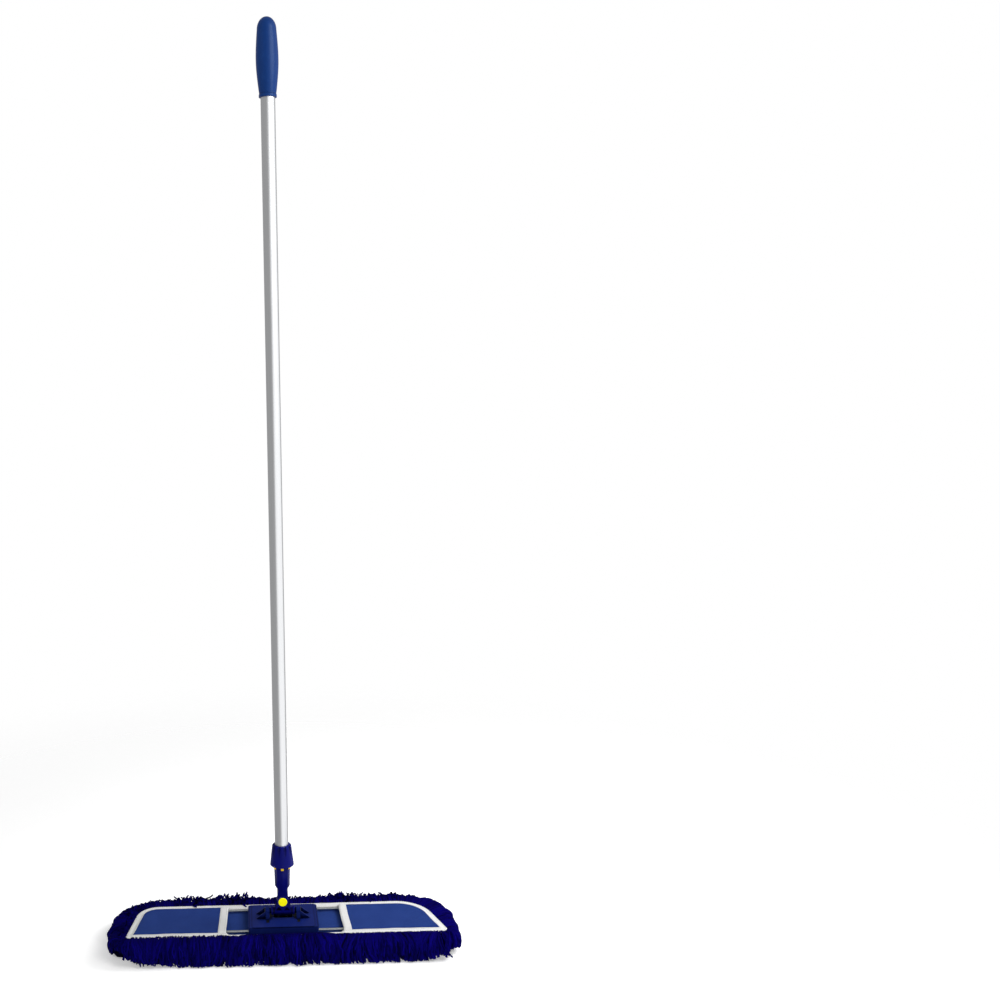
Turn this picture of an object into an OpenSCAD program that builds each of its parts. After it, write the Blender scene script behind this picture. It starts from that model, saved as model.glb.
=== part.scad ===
// Dust mop with an upright tube handle, a two-way swivel, a wire frame and a pocketed yarn head.
// Millimetres. Origin on the floor under the middle of the head, +X along the head, +Z up.

/* [Handle] */
// Length of the handle from the tube's lower end to the crown of the grip
handle_length = 1326.5; // [900:2:1600]
// Outside diameter of the handle tube
tube_d = 22; // [18:0.5:26]
// Wall of the handle tube
tube_wall = 1.2; // [0.8:0.1:2]
// Length of the grip
grip_length = 116; // [100:1:180]
// How far the belly of the grip swells out from its mouth
grip_swell = 4.2; // [2:0.1:8]
// Wall of the grip at its mouth
grip_wall = 1.9; // [1.2:0.1:3]

/* [Clamp] */
// Height of the locking collar
collar_h = 34; // [28:0.5:50]
// Wall of the collar at its skirt
collar_skirt_wall = 4.5; // [3.5:0.1:7]
// Wall of the collar at its crown
collar_crown_wall = 3.2; // [2:0.1:4]
// Number of grip flutes round the collar
flute_count = 10; // [6:1:16]
// Height of the collet ring that grips the tube
collet_h = 14; // [10:0.5:15]
// Number of legs that key the collet to the socket
collet_legs = 6; // [2:1:6]

/* [Socket] */
// Length of the eight-sided shank between the shoulder and the collar
shank_length = 37.5; // [18:0.5:60]
// How far the corners of the shank stand out from the tube's radius
shank_step = 2.2; // [1:0.1:3]
// Width of the neck below the shoulder
neck_w = 17.4; // [13:0.1:18]
// Height of the shoulder above the swivel pivot
shoulder_rise = 19.2; // [17:0.1:40]
// Thickness of the tongue at the swivel pivot
tongue_t = 10; // [8:0.1:11]

/* [Swivel] */
// Height of the swivel pivot above the hinge pin
pivot_rise = 18.6; // [17.5:0.1:22]
// Length of the knuckle barrel
barrel_length = 38; // [34:0.5:44]
// Outside diameter of the knuckle barrel
barrel_d = 12.4; // [11:0.1:13]
// Diameter of the pivot pin's head
pivot_head_d = 14; // [12:0.1:17]
// Diameter of the pivot pin's shank
pivot_d = 8; // [6:0.1:9]
// Diameter of the hinge pin
hinge_d = 6; // [4:0.1:7]

/* [Base plate] */
// Width of the base plate along the head
plate_w = 115; // [100:1:140]
// Depth of the base plate across the head
plate_depth = 79; // [78:0.5:90]
// Height of the plate's border above its rim
border_h = 10.1; // [9:0.1:13]
// Width of the stepped border at each side of the plate
border_w = 6.5; // [5:0.1:12]
// Height of the hinge pin above the panel
hinge_rise = 9.2; // [8.6:0.1:14]
// Thickness of each ear along the hinge pin
ear_t = 6.4; // [5:0.1:9]

/* [Frame] */
// Diameter of the frame wire
wire_d = 4.2; // [3:0.1:4.6]
// Spacing of the two long legs of the frame wire
wire_spacing = 70; // [60:0.5:70]
// Thickness of the plate that clamps the wires
clamp_t = 1.6; // [1:0.1:2.5]

/* [Mop head] */
// Length of the backing canvas
canvas_length = 520; // [440:5:900]
// Depth of the backing canvas
canvas_depth = 106; // [104:1:130]
// Thickness of the backing canvas
canvas_t = 1.2; // [0.8:0.1:2]
// Radius of the canvas corners at the back
back_corner_r = 36; // [20:1:45]
// Radius of the canvas corners at the front
front_corner_r = 16; // [15:1:30]
// Slant of the two ends of the canvas, in degrees, so that the back is shorter than the front
end_slant = 18; // [0:1:24]
// Width of the white binding tape
tape_w = 11; // [9:0.5:12]
// Distance from the middle of the head to the mouth of each pocket
pocket_mouth_x = 96; // [80:1:140]

/* [Yarn] */
// Height of the yarn pile under the canvas
pile_h = 31.8; // [20:0.1:50]
// How far the fringe reaches out from the canvas at the front
front_reach = 25; // [15:0.5:60]
// How far it reaches out at the front corners
corner_reach = 21; // [15:0.5:60]
// How far it reaches out at the middle of the two ends
end_reach = 43; // [15:0.5:60]
// How far it reaches out at the back
back_reach = 33; // [15:0.5:60]
// How far the back fringe fluffs up above the canvas
back_fluff = 20; // [0:0.5:24]
// Pitch of the yarn tufts along the edge of the head
tuft_pitch = 15; // [10:0.5:30]
// Depth of the furrow between two tufts
tuft_depth = 3.2; // [0:0.1:6]

/* [Hidden] */
$fn = 64;

// Clearances, one for each kind of fit
cut_over = 1;
slide_gap = 0.1;
run_gap = 0.05;
thread_gap = 0.25;
part_gap = 0.3;
lay_gap = 0.2;

// Heights, from the floor up
canvas_top = pile_h + canvas_t;
sheet_t = 0.9;
tape_t = 1;
rim_z = canvas_top + lay_gap;
wire_z = rim_z + clamp_t + run_gap + wire_d / 2;
wire_top = wire_z + wire_d / 2;
border_z = rim_z + border_h;
panel_step = 1.4;
panel_z = border_z + panel_step;
hinge_z = panel_z + hinge_rise;
pivot_z = hinge_z + pivot_rise;
shoulder_h = 5.8;
neck_top_z = pivot_z + shoulder_rise;
shank_z = neck_top_z + shoulder_h;
collar_z = shank_z + shank_length;
collar_top_z = collar_z + collar_h;

// Tube, grip and clamp radii, all from the tube
tube_r = tube_d / 2;
bore_r = tube_r + slide_gap;
shank_r = tube_r + shank_step;
leg_t = 1.4;
leg_r = shank_r + lay_gap;
thread_r = leg_r + leg_t;
leg_w = 4.6;
leg_show = 5.8;
collet_lip = 1.5;
collet_top_r = bore_r + collet_lip;
collar_bore_r = thread_r + thread_gap;
collar_skirt_r = collar_bore_r + collar_skirt_wall;
collar_crown_r = collet_top_r + collar_crown_wall;
crown_round = 3;
crown_steps = 3;
crown_t = 3.2;
mouth_gap = 0.4;
slit_w = 1.2;
slit_count = 6;
flute_r = 2.8;
flute_depth = 2.6;
flute_clear = 2;

// Handle places
seat_t = 2;
tube_z = collar_z + seat_t;
grip_top_z = tube_z + handle_length;
grip_z = grip_top_z - grip_length;
grip_seat_share = 0.72;
grip_mouth_r = tube_r + grip_wall;
grip_belly_r = grip_mouth_r + grip_swell;
grip_belly_share = 0.47;
grip_crown_share = 0.84;
grip_crown_r_share = 0.86;
grip_bead = 0.7;
grip_bead_h = 4;
grip_steps = 10;

// Socket places
core_d = 13;
core_length_share = 0.7;
shank_low_share = 0.92;
tongue_r = 8.6;

// Swivel places
cheek_t = 3.4;
cheek_in = tongue_t / 2 + lay_gap;
cheek_out = cheek_in + cheek_t;
cheek_r = 9.4;
neck_low = cheek_r + 2 * part_gap;
cheek_foot_w = 27;
saddle_h = 4;
head_t = 1.9;
head_dome = 0.7;
cap_spigot_d = 4.4;
cap_spigot_length = 6;
collar_ring_t = 3;
collar_ring_d = barrel_d + 2;
window_w = 10;
window_h = 7.2;
window_x = 6.6;
window_lift = 2;

// Base plate places
plate_wall = 2;
plate_corner_r = 4.5;
panel_corner_r = 3;
trim_w = 2.2;
trim_h = 0.8;
edge_in = 0.8;
deck_t = 4.5;
ear_gap = 3.2;
ear_boss_d = 10;
ear_x = barrel_length / 2 + ear_gap;
ear_half = 9.2;
ear_top = 6.6;
ear_cap_h = 12;
ear_round = 5;
ear_foot = 25;
gusset_t = 2.6;
gusset_length = 15.5;
gusset_h = 11.5;
root_drop = 2.1;
well_w = 31;
well_depth = 15;
well_corner_r = 3;
slot_w = 5;
slot_length = 10;
slot_y = 18;
tab_gap = 0.3;
tab_hook = 0.8;
wire_notch_gap = 0.3;
push_nut_t = 1.4;
push_nut_d = 11;
push_nut_dish = 0.6;
pin_head_t = 2;
pin_head_d = 10;

// Frame wire places
wire_y = wire_spacing / 2;
wire_inner_x = 7;
wire_hook = 13;
wire_bend_r = 7;
wire_end_gap = 22;
wire_end_x = canvas_length / 2 - tape_w - wire_end_gap;
wire_corner_r = 26;
clamp_margin = 5;
clamp_corner_r = 5;

// Mop head places
canvas_hx = canvas_length / 2;
canvas_hy = canvas_depth / 2;
front_cx = canvas_hx - front_corner_r;
front_cy = -canvas_hy + front_corner_r;
back_cy = canvas_hy - back_corner_r;
back_cx = front_cx
    + ((front_cy - back_cy) * sin(end_slant) + front_corner_r - back_corner_r) / cos(end_slant);
hem_t = 0.8;
dome_lift = 0.9;
dome_z = wire_top + dome_lift;
dome_low_inset = tape_w - 2 * sheet_t;
dome_high_inset = tape_w + 2 * sheet_t;
mouth_tape_w = 12;

// Fringe places
fringe_in = hem_t + part_gap;
front_r = front_corner_r + fringe_in;
back_r = back_corner_r + fringe_in;
edge_y = canvas_hy + fringe_in;
corner_steps = 6;
tuft_stations = 3;
fringe_rings = 7;
front_fluff = 1;
fringe_foot_share = 0.95;
tuft_vary_share = 0.35;
tuft_turn_a = 47;
fluff_wave_share = 0.12;

// Colours
navy_plastic = [0.05, 0.05, 0.42];
dark_plastic = [0.08, 0.10, 0.35];
grip_blue = [0.10, 0.25, 0.55];
pin_yellow = [0.98, 0.90, 0.05];
bright_alloy = [0.82, 0.83, 0.85];
zinc_steel = [0.70, 0.72, 0.70];
canvas_blue = [0.14, 0.24, 0.50];
tape_white = [0.90, 0.90, 0.88];
yarn_blue = [0.04, 0.02, 0.36];

// Shared shapes

// Cylinder along X, centred on the origin.
module rod_x(d, length) {
    rotate([0, 90, 0]) cylinder(d = d, h = length, center = true);
}

// Cylinder along Y, centred on the origin.
module rod_y(d, length) {
    rotate([90, 0, 0]) cylinder(d = d, h = length, center = true);
}

// Rectangle with round corners, centred on the origin.
module round_rect(w, depth, r) {
    square([w - 2 * r, depth], center = true);
    square([w, depth - 2 * r], center = true);
    for (sx = [-1, 1], sy = [-1, 1])
        translate([sx * (w / 2 - r), sy * (depth / 2 - r)]) circle(r = r);
}

// Slab of a flat outline between two heights.
module slab(z0, z1) {
    translate([0, 0, z0]) linear_extrude(height = z1 - z0) children();
}

// Outline of the canvas, moved inwards by inset: tight front corners, slanted ends, round back corners.
module canvas_outline(inset) {
    rb = back_corner_r - inset;
    rf = front_corner_r - inset;
    side = [
        [front_cx, front_cy - rf],
        [front_cx + rf * cos(end_slant), front_cy + rf * sin(end_slant)],
        [back_cx + rb * cos(end_slant), back_cy + rb * sin(end_slant)],
        [back_cx, back_cy + rb]
    ];
    polygon(concat(side, [for (k = [3 : -1 : 0]) [-side[k][0], side[k][1]]]));
    for (s = [-1, 1]) {
        translate([s * front_cx, front_cy]) circle(r = rf);
        translate([s * back_cx, back_cy]) circle(r = rb);
    }
}

// Point on a smooth curve between four control values, for t from 0 to 1.
function blend4(a, b, c, d, t) =
    pow(1 - t, 3) * a + 3 * pow(1 - t, 2) * t * b + 3 * (1 - t) * t * t * c + pow(t, 3) * d;

// Handle

module handle_tube() {
    tube_length = grip_z + grip_length * grip_seat_share - tube_z;
    color(bright_alloy) translate([0, 0, tube_z]) difference() {
        cylinder(r = tube_r, h = tube_length);
        translate([0, 0, -cut_over]) cylinder(r = tube_r - tube_wall, h = tube_length + 2 * cut_over);
    }
}

// Half outline of the grip: a bead at the mouth, a long swell to the belly and a domed crown.
function grip_profile() =
    let (
        belly_h = grip_length * grip_belly_share,
        crown_h = grip_length * grip_crown_share,
        crown_r = grip_belly_r * grip_crown_r_share,
        dome_h = grip_length - crown_h
    )
    concat(
        [[0, 0], [grip_mouth_r + grip_bead, 0], [grip_mouth_r + grip_bead, grip_bead_h]],
        [for (k = [0 : grip_steps]) let (t = k / grip_steps) [
            blend4(grip_mouth_r, grip_mouth_r + grip_swell / 2, grip_belly_r, grip_belly_r, t),
            grip_bead_h + grip_bead + (belly_h - grip_bead_h - grip_bead) * t
        ]],
        [for (k = [1 : grip_steps]) let (t = k / grip_steps) [
            blend4(grip_belly_r, grip_belly_r, (grip_belly_r + crown_r) / 2, crown_r, t),
            belly_h + (crown_h - belly_h) * t
        ]],
        [for (k = [1 : grip_steps]) let (a = 90 * k / grip_steps)
            [crown_r * cos(a), crown_h + dome_h * sin(a)]]
    );

module handle_grip() {
    color(grip_blue) translate([0, 0, grip_z]) difference() {
        rotate_extrude() polygon(grip_profile());
        translate([0, 0, -cut_over])
            cylinder(r = tube_r + run_gap, h = grip_length * grip_seat_share + cut_over + run_gap);
    }
}

// Clamp

// Collar wall in section: a tapered outside, a threaded skirt, a cone that squeezes the collet, a mouth.
module collar_section() {
    cone_low = collar_h - crown_t - collet_h;
    polygon(concat(
        [[collar_bore_r, 0], [collar_skirt_r, 0]],
        [for (k = [0 : crown_steps]) let (a = 90 * k / crown_steps) [
            collar_crown_r - crown_round + crown_round * cos(a),
            collar_h - crown_round + crown_round * sin(a)
        ]],
        [
            [tube_r + mouth_gap, collar_h],
            [tube_r + mouth_gap, collar_h - crown_t],
            [collet_top_r + thread_gap, collar_h - crown_t],
            [collar_bore_r, cone_low]
        ]
    ));
}

// One grip flute: a rod that leans with the taper, sunk at the crown and fading out towards the skirt.
module collar_flute() {
    low_r = collar_skirt_r + flute_r + flute_clear;
    high_r = collar_crown_r + flute_r - flute_depth;
    lean = atan2(low_r - high_r, collar_h);
    translate([low_r, 0, 0]) rotate([0, -lean, 0])
        cylinder(r = flute_r, h = norm([collar_h, low_r - high_r]) + flute_r);
}

module locking_collar() {
    color(navy_plastic) translate([0, 0, collar_z]) rotate([0, 0, 180 / flute_count]) difference() {
        rotate_extrude() collar_section();
        for (k = [0 : flute_count - 1]) rotate([0, 0, 360 * (k + 1 / 2) / flute_count]) collar_flute();
    }
}

module clamp_collet() {
    ring_z = collar_top_z - crown_t - collet_h - part_gap;
    ring_h = collet_h;
    leg_h = ring_z - collar_z + leg_show + sheet_t / 2;
    color(pin_yellow) {
        difference() {
            translate([0, 0, ring_z]) rotate_extrude() polygon([
                [bore_r, 0], [thread_r, 0], [thread_r, sheet_t],
                [collet_top_r, ring_h], [bore_r, ring_h]
            ]);
            for (k = [0 : slit_count - 1]) rotate([0, 0, 360 * (k + 1 / 4) / slit_count])
                translate([0, -slit_w / 2, ring_z + ring_h / slit_count])
                    cube([thread_r + cut_over, slit_w, ring_h]);
        }
        for (k = [0 : collet_legs - 1]) rotate([0, 0, 360 * (k + 1 / 2) / collet_legs])
            translate([0, 0, collar_z - leg_show]) intersection() {
                difference() {
                    cylinder(r = thread_r - lay_gap, h = leg_h);
                    translate([0, 0, -cut_over]) cylinder(r = leg_r, h = leg_h + 2 * cut_over);
                }
                translate([0, -leg_w / 2, 0]) cube([thread_r + cut_over, leg_w, leg_h]);
            }
    }
}

// Socket

module handle_socket() {
    ring_z = collar_top_z - crown_t - collet_h - part_gap;
    thread_top = ring_z - lay_gap;
    core_length = (collar_z - shank_z) * core_length_share;
    color(navy_plastic) difference() {
        union() {
            translate([-neck_w / 2, -tongue_t / 2, pivot_z]) cube([neck_w, tongue_t, neck_low]);
            hull() {
                translate([-neck_w / 2, -tongue_t / 2, pivot_z + neck_low]) cube([neck_w, tongue_t, lay_gap]);
                translate([0, 0, neck_top_z]) cylinder(d = neck_w, h = run_gap, $fn = 8);
            }
            translate([0, 0, pivot_z]) rod_y(2 * tongue_r, tongue_t);
            translate([0, 0, neck_top_z])
                cylinder(r1 = neck_w / 2, r2 = shank_r * shank_low_share, h = shoulder_h, $fn = 8);
            translate([0, 0, shank_z])
                cylinder(r1 = shank_r * shank_low_share, r2 = shank_r, h = shank_length, $fn = 8);
            translate([0, 0, collar_z]) cylinder(r = thread_r, h = thread_top - collar_z);
        }
        translate([0, 0, pivot_z]) rod_y(pivot_d + 2 * run_gap, tongue_t + 2 * cut_over);
        translate([0, 0, tube_z]) cylinder(r = bore_r, h = collar_h);
        translate([0, 0, tube_z - core_length]) cylinder(d = core_d, h = core_length + cut_over);
        for (k = [0 : collet_legs - 1]) rotate([0, 0, 360 * (k + 1 / 2) / collet_legs])
            translate([leg_r - lay_gap, -leg_w / 2 - lay_gap, collar_z - cut_over])
                cube([leg_t + 2 * lay_gap, leg_w + 2 * lay_gap, collar_h]);
    }
}

// Swivel

module pivot_pin() {
    spigot_depth = cap_spigot_length + part_gap;
    color(pin_yellow) translate([0, 0, pivot_z]) rotate([90, 0, 0]) difference() {
        union() {
            translate([0, 0, -cheek_out]) cylinder(d = pivot_d, h = 2 * cheek_out);
            translate([0, 0, cheek_out]) cylinder(d = pivot_head_d, h = head_t - head_dome);
            translate([0, 0, cheek_out + head_t - head_dome])
                cylinder(d1 = pivot_head_d, d2 = pivot_head_d - 2 * head_dome, h = head_dome);
        }
        translate([0, 0, -cheek_out - cut_over]) cylinder(d = cap_spigot_d, h = spigot_depth + cut_over);
    }
}

module pivot_pin_cap() {
    color(pin_yellow) translate([0, 0, pivot_z]) rotate([-90, 0, 0]) {
        translate([0, 0, cheek_out]) cylinder(d = pivot_head_d, h = head_t - head_dome);
        translate([0, 0, cheek_out + head_t - head_dome])
            cylinder(d1 = pivot_head_d, d2 = pivot_head_d - 2 * head_dome, h = head_dome);
        translate([0, 0, cheek_out - cap_spigot_length])
            cylinder(d = cap_spigot_d - 2 * run_gap, h = cap_spigot_length);
    }
}

// One cheek of the knuckle seen from the front: a round eye on flared feet, with two three-sided windows.
module cheek_outline() {
    difference() {
        union() {
            translate([0, pivot_rise]) circle(r = cheek_r);
            polygon([
                [-cheek_foot_w / 2, 0], [cheek_foot_w / 2, 0],
                [cheek_foot_w / 2, saddle_h / 2],
                [cheek_r, pivot_rise], [-cheek_r, pivot_rise],
                [-cheek_foot_w / 2, saddle_h / 2]
            ]);
        }
        for (s = [-1, 1]) scale([s, 1]) translate([window_x, saddle_h / 2 + window_lift])
            polygon([[-window_w / 2, 0], [window_w / 2, 0], [0, window_h]]);
    }
}

module swivel_knuckle() {
    color(navy_plastic) difference() {
        union() {
            translate([0, 0, hinge_z]) rod_x(barrel_d, barrel_length);
            for (s = [-1, 1]) translate([s * (barrel_length - collar_ring_t) / 2, 0, hinge_z])
                rod_x(collar_ring_d, collar_ring_t);
            for (s = [-1, 1]) translate([0, s * (cheek_in + cheek_t / 2), hinge_z])
                rotate([90, 0, 0]) linear_extrude(height = cheek_t, center = true) cheek_outline();
            translate([-cheek_foot_w / 2, -cheek_out, hinge_z])
                cube([cheek_foot_w, 2 * cheek_out, saddle_h]);
        }
        translate([0, 0, hinge_z]) rod_x(hinge_d + 2 * run_gap, barrel_length + 2 * cut_over);
        translate([0, 0, pivot_z]) rod_y(pivot_d + 2 * run_gap, 2 * cheek_out + 2 * cut_over);
        translate([0, 0, pivot_z]) rod_y(2 * (tongue_r + part_gap), 2 * cheek_in);
    }
}

module hinge_pin() {
    reach = ear_x + ear_t;
    color(zinc_steel) translate([0, 0, hinge_z]) {
        translate([push_nut_t / 2, 0, 0]) rod_x(hinge_d, 2 * reach + push_nut_t);
        translate([-reach - pin_head_t / 2, 0, 0]) rod_x(pin_head_d, pin_head_t);
    }
}

module hinge_push_nut() {
    color(zinc_steel) translate([ear_x + ear_t, 0, hinge_z]) rotate([0, 90, 0]) difference() {
        union() {
            cylinder(d = push_nut_d, h = push_nut_t - push_nut_dish);
            translate([0, 0, push_nut_t - push_nut_dish])
                cylinder(d1 = push_nut_d, d2 = hinge_d + push_nut_dish * 2, h = push_nut_dish);
        }
        translate([0, 0, -cut_over]) cylinder(d = hinge_d + 2 * run_gap, h = push_nut_t + 2 * cut_over);
    }
}

// Base plate

// Body of the plate: a rim, two low steps at each side and a raised panel, hollow underneath.
module plate_shell() {
    difference() {
        union() {
            slab(rim_z, border_z) round_rect(plate_w, plate_depth, plate_corner_r);
            slab(rim_z, border_z + trim_h)
                round_rect(plate_w - 2 * trim_w, plate_depth - 2 * edge_in, panel_corner_r);
            slab(rim_z, panel_z)
                round_rect(plate_w - 2 * border_w, plate_depth - 4 * edge_in, panel_corner_r);
        }
        slab(rim_z - cut_over, panel_z - deck_t)
            round_rect(plate_w - 2 * plate_wall, plate_depth - 2 * plate_wall, plate_corner_r - plate_wall);
        slab(rim_z, panel_z + cut_over) round_rect(well_w, well_depth, well_corner_r);
    }
}

// One ear that carries the hinge pin, with two gussets on its outer side.
module plate_ear() {
    ear_h = hinge_z - panel_z;
    translate([ear_x + ear_t / 2, 0, panel_z]) {
        rotate([90, 0, 90]) linear_extrude(height = ear_t, center = true) {
            polygon([
                [-ear_foot / 2, -root_drop], [ear_foot / 2, -root_drop], [ear_foot / 2, 0],
                [ear_half, ear_h], [-ear_half, ear_h], [-ear_foot / 2, 0]
            ]);
            translate([0, ear_h + ear_top - ear_cap_h / 2]) round_rect(2 * ear_half, ear_cap_h, ear_round);
        }
        translate([-ear_t / 2 - (ear_gap - part_gap) / 2, 0, ear_h]) rod_x(ear_boss_d, ear_gap - part_gap);
        for (s = [-1, 1]) translate([ear_t / 2, s * (ear_half - gusset_t / 2), 0]) rotate([90, 0, 0])
            linear_extrude(height = gusset_t, center = true)
                polygon([[-ear_t / 2, -root_drop], [gusset_length, -root_drop], [gusset_length, 0], [0, gusset_h],
                    [-ear_t / 2, gusset_h]]);
    }
}

module base_plate() {
    color(dark_plastic) difference() {
        union() {
            plate_shell();
            plate_ear();
            mirror([1, 0, 0]) plate_ear();
        }
        translate([0, 0, hinge_z]) rod_x(hinge_d + 2 * run_gap, 2 * (ear_x + ear_t) + 2 * cut_over);
        for (sx = [-1, 1], sy = [-1, 1]) {
            translate([sx * (ear_x + ear_t / 2), sy * slot_y, rim_z])
                slab(0, panel_z) square([slot_w, slot_length], center = true);
            translate([sx * plate_w / 2, sy * wire_y, 0])
                slab(rim_z - cut_over, wire_z) square([4 * plate_wall, wire_d + 2 * wire_notch_gap], center = true);
            translate([sx * plate_w / 2, sy * wire_y, wire_z])
                rod_x(wire_d + 2 * wire_notch_gap, 4 * plate_wall);
        }
    }
}

// Sheet that holds the wires up into the base plate, with four tabs that snap through the plate's slots.
module wire_clamp_plate() {
    tab_w = slot_w - 2 * tab_gap;
    tab_length = slot_length - 2 * tab_gap;
    color(zinc_steel) {
        slab(rim_z, rim_z + clamp_t)
            round_rect(plate_w - 2 * clamp_margin, plate_depth - 2 * clamp_margin, clamp_corner_r);
        for (sx = [-1, 1], sy = [-1, 1]) translate([sx * (ear_x + ear_t / 2), sy * slot_y, 0])
            slab(rim_z, panel_z - tab_hook) square([tab_w, tab_length], center = true);
    }
}

// Frame

// Quarter bend of wire about a vertical axis, from angle a0, on radius r.
module wire_bend(r, a0) {
    rotate([0, 0, a0]) rotate_extrude(angle = 90) translate([r, 0]) circle(d = wire_d);
}

// One half of the frame: two long legs, a round-cornered end and two hooks under the base plate.
module frame_wire() {
    leg_length = wire_end_x - wire_corner_r - wire_inner_x - wire_bend_r;
    end_length = 2 * (wire_y - wire_corner_r);
    translate([0, 0, wire_z]) {
        translate([wire_end_x, 0, 0]) rod_y(wire_d, end_length);
        for (s = [0, 1]) mirror([0, s, 0]) {
            translate([wire_inner_x + wire_bend_r + leg_length / 2, wire_y, 0]) rod_x(wire_d, leg_length);
            translate([wire_end_x - wire_corner_r, wire_y - wire_corner_r, 0]) wire_bend(wire_corner_r, 0);
            translate([wire_inner_x + wire_bend_r, wire_y - wire_bend_r, 0]) wire_bend(wire_bend_r, 90);
            translate([wire_inner_x, wire_y - wire_bend_r - wire_hook / 2, 0]) rod_y(wire_d, wire_hook);
        }
    }
}

module right_frame_wire() {
    color(zinc_steel) frame_wire();
}

module left_frame_wire() {
    color(zinc_steel) mirror([1, 0, 0]) frame_wire();
}

// Mop head

module backing_canvas() {
    color(canvas_blue) slab(pile_h, canvas_top) canvas_outline(0);
}

// The room beyond one pocket's mouth, out to the end of the head.
module beyond_mouth(mouth, length) {
    translate([mouth, -canvas_depth, 0]) cube([length, 2 * canvas_depth, 2 * dome_z]);
}

// Room under fabric tented over the frame wire, from the height foot up, grown outwards by swell.
module tent(swell, foot) {
    top = dome_z + sheet_t + swell;
    hull() {
        slab(foot, canvas_top + sheet_t / 2) canvas_outline(dome_low_inset - swell, $fn = 32);
        slab(top - sheet_t / 2, top) canvas_outline(dome_high_inset - swell, $fn = 32);
    }
}

module pocket() {
    intersection() {
        difference() {
            union() {
                slab(canvas_top, canvas_top + sheet_t) canvas_outline(hem_t);
                tent(0, canvas_top);
            }
            tent(-sheet_t, canvas_top - cut_over);
        }
        beyond_mouth(pocket_mouth_x, canvas_length);
    }
}

module right_pocket() {
    color(canvas_blue) pocket();
}

module left_pocket() {
    color(canvas_blue) mirror([1, 0, 0]) pocket();
}

// White tape folded over the edge of the canvas all the way round.
module binding_tape() {
    tape_z = canvas_top + sheet_t;
    inner = tape_w;
    color(tape_white) {
        difference() {
            slab(pile_h, tape_z + tape_t) canvas_outline(-hem_t);
            slab(pile_h - cut_over, tape_z) canvas_outline(0);
            slab(tape_z - cut_over, tape_z + tape_t + cut_over) canvas_outline(inner);
            for (s = [0, 1]) mirror([s, 0, 0]) intersection() {
                tent(lay_gap, canvas_top);
                beyond_mouth(pocket_mouth_x - cut_over, canvas_length);
            }
        }
        for (s = [0, 1]) mirror([0, s, 0])
            translate([-pocket_mouth_x + lay_gap, canvas_hy - tape_w, canvas_top])
                cube([2 * (pocket_mouth_x - lay_gap), tape_w - lay_gap, sheet_t]);
    }
}

// White tape round the mouth edge of a pocket.
module mouth_tape() {
    intersection() {
        difference() {
            tent(tape_t, canvas_top);
            tent(run_gap, canvas_top - cut_over);
            slab(0, canvas_top + sheet_t + tape_t + run_gap) canvas_outline(-canvas_depth);
        }
        beyond_mouth(pocket_mouth_x, mouth_tape_w);
    }
}

module right_pocket_tape() {
    color(tape_white) mouth_tape();
}

module left_pocket_tape() {
    color(tape_white) mirror([1, 0, 0]) mouth_tape();
}

// Yarn

module yarn_pile() {
    color(yarn_blue) slab(0, pile_h) canvas_outline(0);
}

// Stations along the head's edge, each [x, y, outward angle]: a corner arc, or a straight run.
function arc_stations(x, y, r, a0, a1) =
    [for (k = [0 : corner_steps]) let (a = a0 + (a1 - a0) * k / corner_steps)
        [x + r * cos(a), y + r * sin(a), a]];
function run_stations(x0, y0, x1, y1, a) =
    let (n = max(2, tuft_stations * round(norm([x1 - x0, y1 - y0]) / tuft_pitch)))
    [for (k = [1 : n - 1]) [x0 + (x1 - x0) * k / n, y0 + (y1 - y0) * k / n, a]];

// How far a tuft stands out at station i of n, level at both ends so that neighbours meet.
function tuft_out(i, n) =
    i == 0 || i == n ? 0 :
    tuft_depth * (cos(360 * i / tuft_stations) - 1) / 2
        * (1 + tuft_vary_share * sin(tuft_turn_a * i));

// How far the yarn fluffs up there: little along the front, most along the back.
function fluff(y, i, n) =
    let (back_share = min(1, max(0, (y + canvas_hy) / canvas_depth)))
    (front_fluff + (back_fluff - front_fluff) * back_share)
        * (1 + (i == 0 || i == n ? 0 : fluff_wave_share * sin(tuft_turn_a * i)));

// Reach of the fringe at a station, from the front round to the back. It grows along the slanted
// ends, so that the yarn there ends nearly square to the head.
function reach(s) = lookup(abs((s[2] + 270) % 360 - 180), [
    [0, front_reach], [45, corner_reach],
    [90 + end_slant, end_reach + s[1] * sin(end_slant)], [180, back_reach]
]);

// Section of the fringe at one station: up the inner wall, then over the crest and down to the floor.
function fringe_section(s, i, n) = concat(
    [[s[0], s[1], 0]],
    [for (k = [0 : fringe_rings]) let (
        a = 90 * k / fringe_rings,
        foot = k == fringe_rings ? fringe_foot_share : 1,
        out = (reach(s) + tuft_out(i, n)) * sin(a) * foot,
        up = canvas_top * cos(a) + fluff(s[1], i, n) * sin(2 * a)
    ) [s[0] + out * cos(s[2]), s[1] + out * sin(s[2]), k == fringe_rings ? 0 : up]]
);

// A run of fringe lofted through its stations.
module fringe(stations) {
    n = len(stations) - 1;
    m = fringe_rings + 2;
    points = [for (i = [0 : n]) each fringe_section(stations[i], i, n)];
    sides = [for (i = [0 : n - 1], k = [0 : m - 1]) let (
        a = i * m + k,
        b = i * m + (k + 1) % m
    ) each [[a, b, b + m], [a, b + m, a + m]]];
    first = [for (k = [0 : m - 1]) m - 1 - k];
    last = [for (k = [0 : m - 1]) n * m + k];
    polyhedron(points = points, faces = concat(sides, [first, last]));
}

module front_fringe() {
    color(yarn_blue) fringe(concat(
        arc_stations(-front_cx, front_cy, front_r, 225, 270),
        run_stations(-front_cx, -edge_y, front_cx, -edge_y, 270),
        arc_stations(front_cx, front_cy, front_r, 270, 315)
    ));
}

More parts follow.
